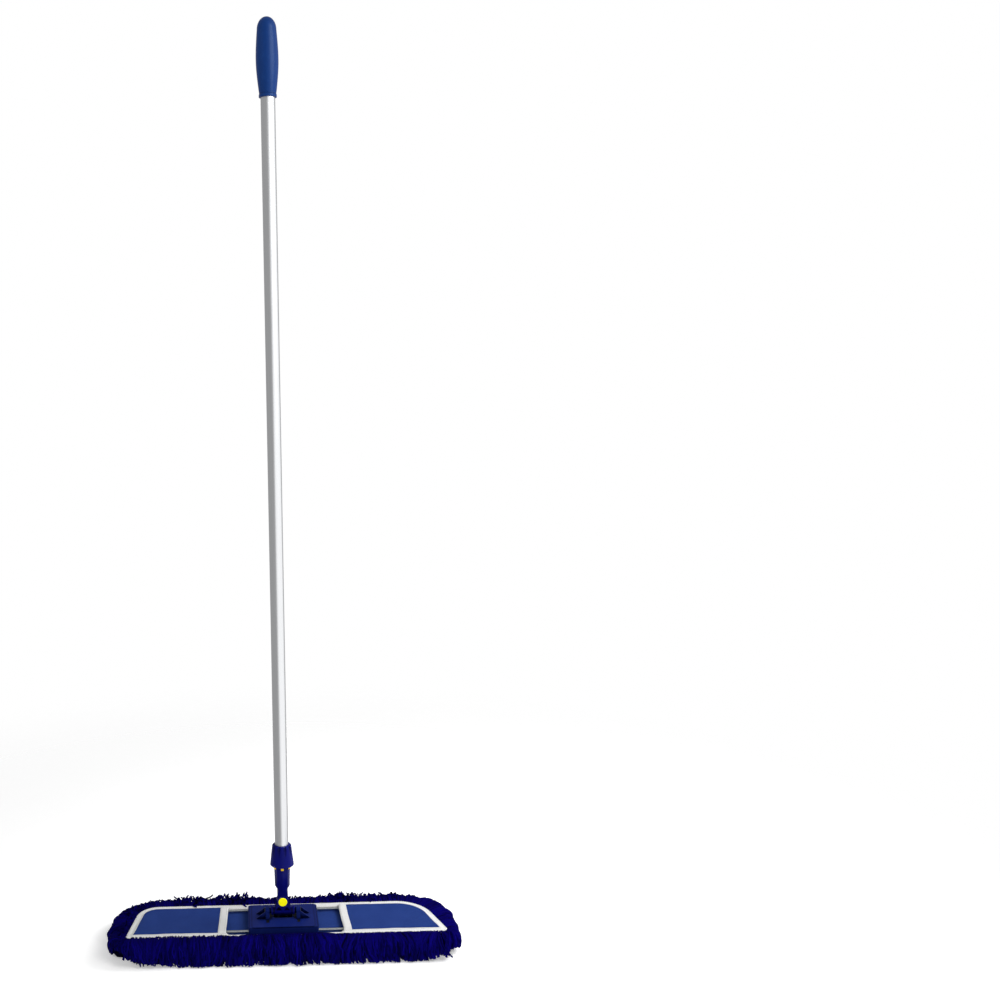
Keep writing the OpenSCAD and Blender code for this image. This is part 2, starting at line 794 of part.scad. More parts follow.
// Stations along the right end, from the front corner to the back corner.
function end_stations() = concat(
    arc_stations(front_cx, front_cy, front_r, 315, 360 + end_slant),
    run_stations(
        front_cx + front_r * cos(end_slant), front_cy + front_r * sin(end_slant),
        back_cx + back_r * cos(end_slant), back_cy + back_r * sin(end_slant), 360 + end_slant
    ),
    arc_stations(back_cx, back_cy, back_r, 360 + end_slant, 405)
);

module right_fringe() {
    color(yarn_blue) fringe(end_stations());
}

module back_fringe() {
    color(yarn_blue) fringe(concat(
        arc_stations(back_cx, back_cy, back_r, 45, 90),
        run_stations(back_cx, edge_y, -back_cx, edge_y, 90),
        arc_stations(-back_cx, back_cy, back_r, 90, 135)
    ));
}

module left_fringe() {
    color(yarn_blue) mirror([1, 0, 0]) fringe(end_stations());
}

handle_grip();
handle_tube();
locking_collar();
clamp_collet();
handle_socket();
pivot_pin();
pivot_pin_cap();
swivel_knuckle();
hinge_pin();
hinge_push_nut();
base_plate();
wire_clamp_plate();
left_frame_wire();
right_frame_wire();
backing_canvas();
left_pocket();
right_pocket();
binding_tape();
left_pocket_tape();
right_pocket_tape();
yarn_pile();
front_fringe();
back_fringe();
left_fringe();
right_fringe();
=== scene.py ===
# %% [markdown]
# # Dressing a dust mop
# The moving frame of this mop comes from its construction model: handle, clamp, swivel, plate, wires.
# This lesson loads that frame, gives the hard pieces their finishes, and makes the soft pieces,
# which are the canvas, the pockets, the white tapes and the yarn, in the same place and size.

# %% Load the frame
import math
import bpy
import bmesh
import numpy as np
from mathutils import Matrix, Vector


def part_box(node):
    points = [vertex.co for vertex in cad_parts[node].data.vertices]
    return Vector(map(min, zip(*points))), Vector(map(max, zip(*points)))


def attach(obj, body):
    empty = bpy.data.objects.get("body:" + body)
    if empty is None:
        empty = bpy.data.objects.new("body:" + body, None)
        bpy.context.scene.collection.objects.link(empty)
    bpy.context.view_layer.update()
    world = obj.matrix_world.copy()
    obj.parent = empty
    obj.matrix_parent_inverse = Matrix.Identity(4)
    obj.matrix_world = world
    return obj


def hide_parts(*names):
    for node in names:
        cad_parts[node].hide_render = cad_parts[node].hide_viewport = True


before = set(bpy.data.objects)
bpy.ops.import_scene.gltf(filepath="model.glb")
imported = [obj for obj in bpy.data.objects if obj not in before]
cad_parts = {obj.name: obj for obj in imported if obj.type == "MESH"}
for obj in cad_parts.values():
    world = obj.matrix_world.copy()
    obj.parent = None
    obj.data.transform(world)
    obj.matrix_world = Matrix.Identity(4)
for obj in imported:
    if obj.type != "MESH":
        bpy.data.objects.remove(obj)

MM = 0.001
WHITE = (1, 1, 1, 1)
scene = bpy.context.scene
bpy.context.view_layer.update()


def linked(name, data):
    made = bpy.data.objects.new(name, data)
    scene.collection.objects.link(made)
    return made


# %% [markdown]
# ## Camera
# The photograph was taken from about chest height, a little under two metres away, and the mop was cut
# out and set at the left of a wider page. So the camera stands in front of the mop and a sideways shift
# of the film moves the mop to the left, without turning it. The small roll is the lean seen in the picture.

# %% Camera at the photograph's viewing angle
FOCAL_PX, CENTRE_PX, PAGE_PX, FILM_MM = 1155.09, (258.78, 505.0), 1000, 36.0
CAMERA_PLACE = (-0.04423, -1.80015, 0.97836)
YAW, PITCH, ROLL = -0.0101, 0.1367, -0.0205
camera_data = bpy.data.cameras.new("photo_camera")
camera = linked("photo_camera", camera_data)
right = Vector((math.cos(YAW), math.sin(YAW), 0))
ahead = Vector((-math.sin(YAW) * math.cos(PITCH), math.cos(YAW) * math.cos(PITCH), -math.sin(PITCH)))
up = right.cross(ahead)
right, up = (right * math.cos(ROLL) + up * math.sin(ROLL),
             up * math.cos(ROLL) - right * math.sin(ROLL))
turned = Matrix((right, up, -ahead)).transposed().to_4x4()
camera.matrix_world = Matrix.Translation(CAMERA_PLACE) @ turned
camera_data.sensor_width = FILM_MM
camera_data.lens = FOCAL_PX / PAGE_PX * FILM_MM
camera_data.shift_x = (PAGE_PX / 2 - CENTRE_PX[0]) / PAGE_PX
camera_data.shift_y = (CENTRE_PX[1] - PAGE_PX / 2) / PAGE_PX
scene.camera = camera

# %% [markdown]
# ## Building with nodes
# Light, finishes, stitches and yarn are all built from nodes, so a few functions add a node and set or link
# its inputs. In these calls an input goes by its title, with _ for a space, and a setting of the node goes
# by its own name in small letters.

# %% Node helpers
MIX_INPUTS, MIX_COLOUR = (0, 6, 7), 2


def put(socket, value):
    """Links an output to this input, or gives the input a value."""
    if isinstance(value, bpy.types.NodeSocket):
        socket.id_data.links.new(value, socket)
    else:
        socket.default_value = value


def feed(node, **values):
    for title, value in values.items():
        if title[0].islower():
            setattr(node, title, value)
        else:
            put(node.inputs[title.replace("_", " ")], value)
    return node


def add(tree, kind, **values):
    """A new node, which is a shader node unless its kind says otherwise."""
    return feed(tree.nodes.new(kind if "Node" in kind else "ShaderNode" + kind), **values)


def fill(node, *values):
    """Sets the first inputs in their order."""
    for socket, value in zip(node.inputs, values):
        put(socket, value)
    return node


def calc(tree, operation, *values):
    return fill(add(tree, "Math", operation=operation), *values).outputs[0]


def vector_node(tree, operation, *values, **more):
    return fill(add(tree, "VectorMath", operation=operation, **more), *values).outputs


def range_node(tree, value, low, high, to_low=0.0, to_high=1.0, **more):
    return add(tree, "MapRange", Value=value, From_Min=low, From_Max=high,
               To_Min=to_low, To_Max=to_high, **more).outputs["Result"]


def shader_mix(tree, share, first, second):
    return fill(add(tree, "MixShader"), share, first, second).outputs[0]


def colour_mix(tree, share, first, second):
    node = add(tree, "Mix", data_type="RGBA")
    for k, value in zip(MIX_INPUTS, (share, first, second)):
        put(node.inputs[k], value)
    return node.outputs[MIX_COLOUR]


def noise_node(tree, place, scale, detail=2.0, roughness=0.5):
    return add(tree, "TexNoise", Vector=place, Scale=scale, Detail=detail,
               Roughness=roughness).outputs["Fac"]


def object_place(tree):
    return add(tree, "TexCoord").outputs["Object"]


def finish(name, **values):
    """A new material with its tree and its shader."""
    made = bpy.data.materials.new(name)
    made.use_nodes = True
    return made, made.node_tree, feed(made.node_tree.nodes["Principled BSDF"], **values)


def node_group(name, kind, takes, gives):
    """A group with named sockets: the group, what it takes, and the node that gives."""
    tree = bpy.data.node_groups.new(name, kind)
    for way, sockets in (("INPUT", takes), ("OUTPUT", gives)):
        for title, socket in sockets.items():
            tree.interface.new_socket(title, in_out=way, socket_type="NodeSocket" + socket)
    return tree, tree.nodes.new("NodeGroupInput").outputs, tree.nodes.new("NodeGroupOutput")


# %% [markdown]
# ## Light and floor
# A product page has soft light and a white ground. A key lamp at the front right gives the form, another
# fills from the left, and a small low one brightens the right end of the head. Mirror-like surfaces do not
# see the last two. They see a studio that is brighter at the right front, so the tube has one bright side.
# The camera sees white. The floor is a pale sheet that holds the shadow near the mop and fades into the
# white further away. It throws less light back than it shows, so the yarn stays dark below, and it is
# clear to mirror-like surfaces and from below.

# %% Lamps
def soft_lamp(name, place, aim, size, watts, in_mirrors=False):
    data = bpy.data.lights.new(name, "AREA")
    data.shape, data.size, data.energy = "DISK", size, watts
    lamp = linked(name, data)
    lamp.location = place
    lamp.rotation_euler = (Vector(aim) - Vector(place)).to_track_quat("-Z", "Y").to_euler()
    lamp.visible_glossy = in_mirrors


soft_lamp("key_lamp", (1.15, -0.9, 1.7), (0.05, 0, 0.2), size=1.2, watts=18, in_mirrors=True)
soft_lamp("fill_lamp", (-1.9, -1.2, 1.9), (0, 0, 0.5), size=1.8, watts=16)
soft_lamp("side_lamp", (0.95, 0.15, 0.85), (0, 0, 0.03), size=0.7, watts=11)

# %% World
BRIGHT_SIDE, BRIGHT_FROM, BRIGHT_TO = (0.85, -0.53, 0.0), 0.3, 0.65
DIM_STUDIO, BRIGHT_STUDIO, SKY_STRENGTH = 0.36, 1.12, 0.30
world = bpy.data.worlds.new("studio")
scene.world = world
world.use_nodes = True
tree = world.node_tree
tree.nodes.clear()
ray = add(tree, "LightPath").outputs
look = add(tree, "TexCoord").outputs["Generated"]
sideways = vector_node(tree, "DOT_PRODUCT", look, BRIGHT_SIDE)["Value"]
studio = range_node(tree, sideways, BRIGHT_FROM, BRIGHT_TO, DIM_STUDIO, BRIGHT_STUDIO)
strength = calc(tree, "MAXIMUM", studio, ray["Is Camera Ray"])
seen = add(tree, "Background", Color=WHITE, Strength=strength).outputs[0]
sky = add(tree, "Background", Color=WHITE, Strength=SKY_STRENGTH).outputs[0]
either = calc(tree, "MAXIMUM", ray["Is Camera Ray"], ray["Is Glossy Ray"])
add(tree, "OutputWorld", Surface=shader_mix(tree, either, sky, seen))

# %% Floor
FLOOR_HALF, FADE_FROM, FADE_TO = 6.0, 0.35, 1.5
SHOWN_WHITE, BOUNCED_WHITE, FLOOR_GLOW = 0.93, 0.5, 0.34
floor_mesh = bpy.data.meshes.new("floor")
corners = [(FLOOR_HALF * x, FLOOR_HALF * y, 0) for x, y in ((-1, -1), (1, -1), (1, 1), (-1, 1))]
floor_mesh.from_pydata(corners, [], [(0, 1, 2, 3)])
floor = linked("floor", floor_mesh)
floor_paper, tree, paper = finish("floor_paper", Roughness=0.9, Emission_Color=WHITE,
                                  Emission_Strength=FLOOR_GLOW)
ray = add(tree, "LightPath").outputs
from_below = add(tree, "NewGeometry").outputs["Backfacing"]
far = vector_node(tree, "LENGTH", object_place(tree))["Value"]
gone = range_node(tree, far, FADE_FROM, FADE_TO, interpolation_type="SMOOTHSTEP")
for unseen in (ray["Is Glossy Ray"], from_below):
    gone = calc(tree, "MAXIMUM", gone, unseen)
feed(paper, Base_Color=range_node(tree, ray["Is Camera Ray"], 0, 1, BOUNCED_WHITE, SHOWN_WHITE))
clear = add(tree, "BsdfTransparent").outputs[0]
feed(tree.nodes["Material Output"], Surface=shader_mix(tree, gone, paper.outputs[0], clear))
floor_mesh.materials.append(floor_paper)
scene.view_settings.view_transform = "Standard"

# %% [markdown]
# ## Shader groups
# Three effects come back in several finishes, so each is a group with named inputs. The first is the skin
# of moulded plastic: cloudy dye, a fine pebble and rubbed patches. The second is a plain weave, where the
# warp and the weft take turns on top, and painted shade darkens the valleys between threads. The third is
# the twist of plied yarn or thread.

# %% Moulded skin
SHADER, COLOUR, NUMBER, VECTOR = "ShaderNodeTree", "Color", "Float", "Vector"
CLOUD_SCALE, CLOUD_SHARE = 26.0, 0.25
RUB_SCALE, RUB_FROM, RUB_SOFT, RUB_SHARE = 120.0, 0.52, 0.05, 2.2
skin, take, give = node_group(
    "moulded_skin", SHADER,
    {"Place": VECTOR, "Dye": COLOUR, "Rubbed dye": COLOUR, "Pebble scale": NUMBER, "Smooth": NUMBER,
     "Dull": NUMBER},
    {"Colour": COLOUR, "Roughness": NUMBER, "Height": NUMBER})
cloud = noise_node(skin, take["Place"], CLOUD_SCALE, detail=3.0)
rubbed = noise_node(skin, take["Place"], RUB_SCALE, detail=4.0, roughness=0.65)
pebble = noise_node(skin, take["Place"], take["Pebble scale"], detail=1.0)
patches = calc(skin, "SMOOTH_MAX", calc(skin, "SUBTRACT", rubbed, RUB_FROM), 0.0, RUB_SOFT)
worn = calc(skin, "ADD", calc(skin, "MULTIPLY", patches, RUB_SHARE),
            calc(skin, "MULTIPLY", cloud, CLOUD_SHARE))
spread = calc(skin, "SUBTRACT", take["Dull"], take["Smooth"])
feed(give, Colour=colour_mix(skin, worn, take["Dye"], take["Rubbed dye"]), Height=pebble,
     Roughness=calc(skin, "MULTIPLY_ADD", rubbed, spread, take["Smooth"]))

# %% Plain weave
CROWN_POWER, CROWN_DIP, FADE_SCALE = 0.6, 0.4, 34.0
weave, take, give = node_group(
    "plain_weave", SHADER,
    {"Place": VECTOR, "Thread": NUMBER, "Dye": COLOUR, "Valley dye": COLOUR, "Faded dye": COLOUR},
    {"Colour": COLOUR, "Height": NUMBER})
apart = add(weave, "SeparateXYZ", Vector=take["Place"]).outputs
wave = []
for axis in "XY":
    turns = calc(weave, "DIVIDE", apart[axis], take["Thread"])
    wave.append(calc(weave, "SINE", calc(weave, "MULTIPLY", turns, math.pi)))
on_top = calc(weave, "GREATER_THAN", calc(weave, "MULTIPLY", *wave), 0.0)
humps = [calc(weave, "POWER", calc(weave, "ABSOLUTE", w), CROWN_POWER) for w in wave]
crowns = [calc(weave, "MULTIPLY", hump, calc(weave, "MULTIPLY_ADD", other, CROWN_DIP, 1 - CROWN_DIP))
          for hump, other in (humps, humps[::-1])]
lift = calc(weave, "ADD", calc(weave, "MULTIPLY", crowns[0], on_top),
            calc(weave, "MULTIPLY", crowns[1], calc(weave, "SUBTRACT", 1.0, on_top)))
faded = noise_node(weave, take["Place"], FADE_SCALE, detail=4.0, roughness=0.6)
thread_dye = colour_mix(weave, faded, take["Dye"], take["Faded dye"])
# Painted shade: the valleys between threads take the darker colour.
feed(give, Colour=colour_mix(weave, lift, take["Valley dye"], thread_dye), Height=lift)

# %% Twisted ply
GROOVE_POWER = 0.5
ply, take, give = node_group("twisted_ply", SHADER, {"Turn": VECTOR, "Plies": NUMBER, "Pitch": NUMBER},
                             {"Height": NUMBER, "Groove": NUMBER})
apart = add(ply, "SeparateXYZ", Vector=take["Turn"]).outputs
angle = calc(ply, "MULTIPLY", calc(ply, "ARCTAN2", apart["Y"], apart["X"]), take["Plies"])
advance = calc(ply, "MULTIPLY", calc(ply, "DIVIDE", apart["Z"], take["Pitch"]), 2 * math.pi)
ridge = calc(ply, "ABSOLUTE", calc(ply, "SINE", calc(ply, "ADD", angle, advance)))
feed(give, Height=ridge, Groove=calc(ply, "POWER", ridge, GROOVE_POWER))

# %% [markdown]
# ## Finishes
# Each finish is one Principled shader, fed by a group or, on metal, by noise of its own. Plastic is navy and
# glossy on the clamp and swivel, duller on the plate, and mid blue on the grip. Its colour is painted darker
# in its crevices, by the share of open space around each point: painted shade where little light gets in. The
# yellow pieces glow a little, which is painted light. The tube is drawn aluminium, so its fine lines run
# along it. The canvas is blue polyester, the tapes are white cotton, and the yarn is deep royal blue acrylic.

# %% Finish helpers
CREVICE, CREVICE_POWER, CREVICE_SHADE = 6 * MM, 6.0, 0.15


def bump(tree, shader, height, relief):
    node = add(tree, "Bump", Height=height, Distance=relief, Strength=1.0)
    feed(shader, Normal=node.outputs["Normal"])


def moulded(name, dye, rubbed_dye, smooth, dull, pebble, relief, mirror, shine=(1, 1, 1), painted_glow=0.0):
    made, tree, shader = finish(name, Specular_IOR_Level=mirror, Specular_Tint=(*shine, 1),
                                Emission_Color=(*dye, 1), Emission_Strength=painted_glow)
    got = add(tree, "Group", node_tree=skin, Place=object_place(tree), Dye=(*dye, 1),
              Rubbed_dye=(*rubbed_dye, 1), Smooth=smooth, Dull=dull, Pebble_scale=pebble).outputs
    # Painted shade: the colour darkens in crevices, by the share of open space around each point.
    shelter = add(tree, "AmbientOcclusion", only_local=True, samples=8, Distance=CREVICE)
    open_share = calc(tree, "POWER", shelter.outputs["AO"], CREVICE_POWER)
    painted_shade_colour = (*(CREVICE_SHADE * part for part in dye), 1)
    feed(shader, Base_Color=colour_mix(tree, open_share, painted_shade_colour, got["Colour"]), Roughness=got["Roughness"])
    bump(tree, shader, got["Height"], relief)
    return made


def woven(name, thread, dye, valley, faded, relief, uv_name=None):
    made, tree, shader = finish(name, Roughness=0.85, Specular_IOR_Level=0.08)
    place = add(tree, "UVMap", uv_map=uv_name).outputs["UV"] if uv_name else object_place(tree)
    got = add(tree, "Group", node_tree=weave, Place=place, Thread=thread, Dye=(*dye, 1),
              Valley_dye=(*valley, 1), Faded_dye=(*faded, 1)).outputs
    feed(shader, Base_Color=got["Colour"])
    bump(tree, shader, got["Height"], relief)
    return made


# %% Plastics and cloths
clamp_navy = moulded("clamp_navy", (0.003, 0.004, 0.135), (0.006, 0.008, 0.190), smooth=0.10, dull=0.26,
                     pebble=1400.0, relief=0.00002, mirror=0.11, shine=(0.6, 0.68, 1.0))
plate_navy = moulded("plate_navy", (0.005, 0.012, 0.105), (0.010, 0.022, 0.155), smooth=0.28, dull=0.46,
                     pebble=1100.0, relief=0.00003, mirror=0.05, shine=(0.5, 0.6, 1.0))
grip_blue = moulded("grip_blue", (0.006, 0.039, 0.195), (0.011, 0.055, 0.245), smooth=0.28, dull=0.42,
                    pebble=1300.0, relief=0.00003, mirror=0.22, shine=(0.6, 0.8, 1.0))
FINE = dict(smooth=0.25, dull=0.40, pebble=1200.0, relief=0.00001)
# The yellow pieces glow a little: painted light, for they are no lamps.
pin_yellow = moulded("pin_yellow", (0.95, 0.88, 0.002), (0.95, 0.92, 0.006), mirror=0.1, painted_glow=0.35, **FINE)
collet_amber = moulded("collet_amber", (0.95, 0.60, 0.005), (0.95, 0.68, 0.01), mirror=0.2, painted_glow=0.2, **FINE)
canvas_cloth = woven("canvas_cloth", thread=0.0007, dye=(0.019, 0.047, 0.220), valley=(0.006, 0.015, 0.086),
                     faded=(0.029, 0.068, 0.285), relief=0.0002)
tape_cloth = woven("tape_cloth", thread=0.0009, dye=(0.82, 0.82, 0.81), valley=(0.55, 0.55, 0.54),
                   faded=(0.88, 0.88, 0.87), relief=0.0002, uv_name="along_tape")


# %% Metals
def dulled(tree, pattern, spread, least):
    """Roughness that follows a pattern."""
    return calc(tree, "MULTIPLY_ADD", pattern, spread, least)


tube_alloy, tree, shader = finish("tube_alloy", Metallic=1.0)
drawn = add(tree, "Mapping", Vector=object_place(tree), Scale=(900, 900, 7)).outputs["Vector"]
lines = noise_node(tree, drawn, scale=1.0, detail=3.0, roughness=0.6)
haze = noise_node(tree, object_place(tree), scale=14.0, detail=3.0)
feed(shader, Base_Color=colour_mix(tree, lines, (0.74, 0.75, 0.77, 1), (0.90, 0.91, 0.92, 1)),
     Roughness=dulled(tree, haze, spread=0.16, least=0.22))
bump(tree, shader, lines, relief=0.00001)

zinc_wire, tree, shader = finish("zinc_wire", Metallic=1.0)
spangle = add(tree, "TexVoronoi", Vector=object_place(tree), Scale=420).outputs["Distance"]
grain = noise_node(tree, object_place(tree), scale=160.0, detail=4.0, roughness=0.7)
feed(shader, Base_Color=colour_mix(tree, spangle, (0.52, 0.54, 0.52, 1), (0.32, 0.34, 0.34, 1)),
     Roughness=dulled(tree, grain, spread=0.30, least=0.24))
bump(tree, shader, grain, relief=0.00003)

black_zinc, tree, shader = finish("black_zinc", Metallic=0.8)
grain = noise_node(tree, object_place(tree), scale=240.0, detail=4.0, roughness=0.7)
feed(shader, Base_Color=colour_mix(tree, grain, (0.012, 0.013, 0.018, 1), (0.05, 0.052, 0.062, 1)),
     Roughness=dulled(tree, grain, spread=0.25, least=0.3))
bump(tree, shader, grain, relief=0.00002)

# %% Yarn and thread
GROOVE_SHADE, RIM_SHADE = 0.6, 0.8


def plied(name, deep, bright, plies, pitch, relief, sheen):
    made, tree, shader = finish(name, Roughness=0.8, Specular_IOR_Level=0.02, Sheen_Weight=sheen,
                                Sheen_Roughness=0.4, Sheen_Tint=(*bright, 1))
    turn = add(tree, "Attribute", attribute_name="turn").outputs["Vector"]
    tone_and_painted_shade = add(tree, "Attribute", attribute_name="tone_and_painted_shade").outputs["Fac"]
    rim = add(tree, "LayerWeight", Blend=0.5).outputs["Facing"]
    got = add(tree, "Group", node_tree=ply, Turn=turn, Plies=plies, Pitch=pitch).outputs
    # Painted shade: the colour darkens in the grooves between plies and at the yarn's edges as the camera
    # sees them, and follows the tone, which holds painted shade too.
    painted_groove_shade = calc(tree, "MULTIPLY_ADD", got["Groove"], GROOVE_SHADE, 1 - GROOVE_SHADE)
    painted_rim_shade = calc(tree, "MULTIPLY_ADD", rim, -RIM_SHADE, 1.0)
    lit = calc(tree, "MULTIPLY", calc(tree, "MULTIPLY", tone_and_painted_shade, painted_groove_shade), painted_rim_shade)
    feed(shader, Base_Color=colour_mix(tree, lit, (*deep, 1), (*bright, 1)))
    bump(tree, shader, got["Height"], relief)
    return made


yarn_blue = plied("yarn_blue", (0.0007, 0.0003, 0.010), (0.0060, 0.0024, 0.270),
                  plies=3.0, pitch=0.010, relief=0.0005, sheen=0.02)
stitch_thread = plied("stitch_thread", (0.55, 0.54, 0.52), (0.88, 0.87, 0.85),
                      plies=2.0, pitch=0.0012, relief=0.0001, sheen=0.1)
print("finishes:", sorted(m.name for m in bpy.data.materials))

# %% [markdown]
# ## Hard pieces
# The solids already have their true shape, but their edges are knife sharp, and no moulding has such
# edges: they catch no light. Each moulded piece is copied, its triangles are joined, flat neighbours are
# merged, and a small bevel rounds the edges. The copy then stands for the solid. The metal pieces and the
# collet only get a finish.

# %% Rounded copies of the moulded solids
JOIN_WITHIN, FLAT_WITHIN = 2e-6, math.radians(0.6)
SHARP_FROM, EDGE_STEPS = math.radians(32), 2


def rounded(node, finish_used, slot, body, radius):
    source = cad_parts[node].data
    bm = bmesh.new()
    corners = [bm.verts.new(v.co) for v in source.vertices]
    for face in source.polygons:
        bm.faces.new([corners[i] for i in face.vertices])
    bmesh.ops.remove_doubles(bm, verts=bm.verts, dist=JOIN_WITHIN)
    bmesh.ops.dissolve_degenerate(bm, dist=JOIN_WITHIN / 2, edges=bm.edges)
    bmesh.ops.dissolve_limit(bm, angle_limit=FLAT_WITHIN, verts=bm.verts, edges=bm.edges)
    mesh = bpy.data.meshes.new(node + "_skin")
    bm.to_mesh(mesh)
    bm.free()
    mesh.shade_smooth()
    mesh.set_sharp_from_angle(angle=SHARP_FROM)
    mesh.materials.append(finish_used)
    piece = linked(node + "_skin", mesh)
    edge = piece.modifiers.new("rounded_edges", "BEVEL")
    edge.width, edge.segments, edge.limit_method = radius, EDGE_STEPS, "ANGLE"
    edge.angle_limit, edge.use_clamp_overlap, edge.harden_normals = SHARP_FROM, True, True
    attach(piece, body)
    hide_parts(node)
    print(piece.name, len(mesh.polygons), "faces")


for row in (
    ("handle_grip", grip_blue, "grip_plastic", "handle", 0.4 * MM),
    ("locking_collar", clamp_navy, "clamp_plastic", "collar", 0.35 * MM),
    ("handle_socket", clamp_navy, "clamp_plastic", "socket", 0.5 * MM),
    ("swivel_knuckle", clamp_navy, "clamp_plastic", "knuckle", 0.4 * MM),
    ("base_plate", plate_navy, "plate_plastic", "head", 0.5 * MM),
    ("pivot_pin", pin_yellow, "pin_plastic", "knuckle", 0.2 * MM),
    ("pivot_pin_cap", pin_yellow, "pin_plastic", "knuckle", 0.2 * MM),
):
    rounded(*row)

for node, finish_used in (
    ("handle_tube", tube_alloy), ("clamp_collet", collet_amber), ("hinge_pin", black_zinc),
    ("hinge_push_nut", black_zinc), ("wire_clamp_plate", black_zinc),
    ("left_frame_wire", zinc_wire), ("right_frame_wire", zinc_wire),
):
    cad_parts[node].data.materials.clear()
    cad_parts[node].data.materials.append(finish_used)

# %% [markdown]
# ## The head's outline
# The cloth of the head has tight corners at the front, slanted ends and round corners at the back. The two
# ends differ: the left one is shorter and steeper, with the smaller round corner. One function gives the
# distance of a point from that edge, and one walks round the edge. Every soft piece takes its place from
# these two, so canvas, tape, stitches and yarn stay together. Here -1 is the left end and 1 the right one,
# and lengths are in mm.

# %% Distance from the edge, and a walk round it
SIDES = (("left", -1), ("right", 1))
canvas_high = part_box("backing_canvas")[1]
HALF_X, HALF_Y = canvas_high.x / MM, canvas_high.y / MM
CANVAS_Z = canvas_high.z / MM
FRONT_R = 11.0
END_X = {-1: HALF_X - 5.0, 1: HALF_X + 4.0}
END_SLANT = {-1: math.radians(10), 1: math.radians(18)}
BACK_R = {-1: 36.0, 1: 60.0}
MOUTH_X = {-1: -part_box("left_pocket")[1].x / MM - 3.5, 1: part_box("right_pocket")[0].x / MM}
WIRE_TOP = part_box("left_frame_wire")[1].z / MM
BACK_LIFT, FRONT_LIFT, LIFT_WIDTH = 3.6, 3.0, 16


def round_corners(side):
    """Centres of the front and back corners of one end, as if it were the right end."""
    front, slant = (END_X[side] - FRONT_R, -HALF_Y + FRONT_R), END_SLANT[side]
    back_y = HALF_Y - BACK_R[side]
    step = (front[1] - back_y) * math.sin(slant) + FRONT_R - BACK_R[side]
    return front, (front[0] + step / math.cos(slant), back_y)


def inside(x, y):
    """How far a point lies inside the head's edge."""
    d = np.minimum(HALF_Y + y, HALF_Y - y)
    for side in (-1, 1):
        out, slant, (front, back) = x * side, END_SLANT[side], round_corners(side)
        end = (front[0] - out) * math.cos(slant) + (front[1] - y) * math.sin(slant) + FRONT_R
        here = np.minimum(d, end)
        for (cx, cy), r, low, high in ((front, FRONT_R, -math.pi / 2, slant),
                                       (back, BACK_R[side], slant, math.pi / 2)):
            a = np.arctan2(y - cy, out - cx)
            here = np.where((a > low) & (a < high), r - np.hypot(out - cx, y - cy), here)
        d = np.where(out > 0, here, d)
    return d


def edge_walk(step=1.0):
    """Points and outward normals round the edge, counter-clockwise from the front right."""
    runs = []
    slant = {side: math.degrees(END_SLANT[side]) for side in END_SLANT}
    (front_r, back_r), (front_l, back_l) = round_corners(1), round_corners(-1)
    for side, (cx, cy), r, a0, a1 in ((1, front_r, FRONT_R, -90, slant[1]),
                                      (1, back_r, BACK_R[1], slant[1], 90),
                                      (-1, back_l, BACK_R[-1], 90, 180 - slant[-1]),
                                      (-1, front_l, FRONT_R, 180 - slant[-1], 270)):
        a = np.radians(np.linspace(a0, a1, max(8, int(r * 1.57 / step))))
        runs.append(np.stack([side * cx + r * np.cos(a), cy + r * np.sin(a), np.cos(a), np.sin(a)], 1))
    walk = []
    for here, there in zip(runs, runs[1:] + runs[:1]):
        walk.append(here)
        n = max(2, int(np.hypot(*(there[0, :2] - here[-1, :2])) / step))
        t = np.linspace(0, 1, n + 1)[1:-1, None]
        walk.append(here[-1] * (1 - t) + there[0] * t)
    return np.concatenate(walk)


def walked(points):
    """Length so far at each point of a closed loop, and its whole length at the end."""
    return np.concatenate([[0], np.cumsum(np.hypot(*(np.roll(points, -1, 0) - points)[:, :2].T))])


def inwards(walk, d):
    """Places at a distance inside the edge."""
    return walk[:, 0] - walk[:, 2] * d, walk[:, 1] - walk[:, 3] * d


def ease(low, high, v):
    t = np.clip((v - low) / (high - low), 0, 1)
    return t * t * (3 - 2 * t)


def edge_lift(y):
    s = np.clip((y + HALF_Y) / (2 * HALF_Y), 0, 1)
    return FRONT_LIFT + (BACK_LIFT - FRONT_LIFT) * s * s * (3 - 2 * s)


WALK = edge_walk()

# %% [markdown]
# ## Canvas and pockets
# The canvas lies on the yarn, and its edge is lifted, most of all at the back, where the yarn under it is
# fluffed up. A pocket is a second sheet, sewn down round its edge and stretched over the end of the wire
# frame, so it rises over the wire and sags a little between the two legs. Both are height fields on a grid
# that follows the outline, with a few shallow pulls. A simulation would give the same taut sheet.

# %% Height of the cloth
SEAM, OVER_WIRE, SAG, CANVAS_SINK = 0.8, 1.9, 1.6, 0.1
CANVAS_PULLS, POCKET_PULLS = 0.12, 0.3
# Distances inside the edge where the pocket rises, sags and is pulled.
RISE_FROM_TO, SAG_FROM_TO, PULL_FROM_TO = (5.0, 15.0), (20, 48), (8, 20)
TAPE_W, OVER_POCKET, OVER_CANVAS, MOUTH_STEP = 11.0, 0.5, 1.2, (-4, 2)
# Each wave of the pulls: its lengths along x and y, its start and its share.
PULL_WAVES = (13, 7.5, 0.0, 0.45), (23, -11, 1.3, 0.6), (6.1, 17, 0.4, 0.25)


def creases(x, y, size):
    return size * sum(np.sin(x / a + y / b + start) * share for a, b, start, share in PULL_WAVES)


def canvas_height(x, y):
    d = inside(x, y)
    lift = edge_lift(y) * (1 - ease(0, LIFT_WIDTH, d))
    return CANVAS_Z - CANVAS_SINK + lift + creases(x, y, CANVAS_PULLS)


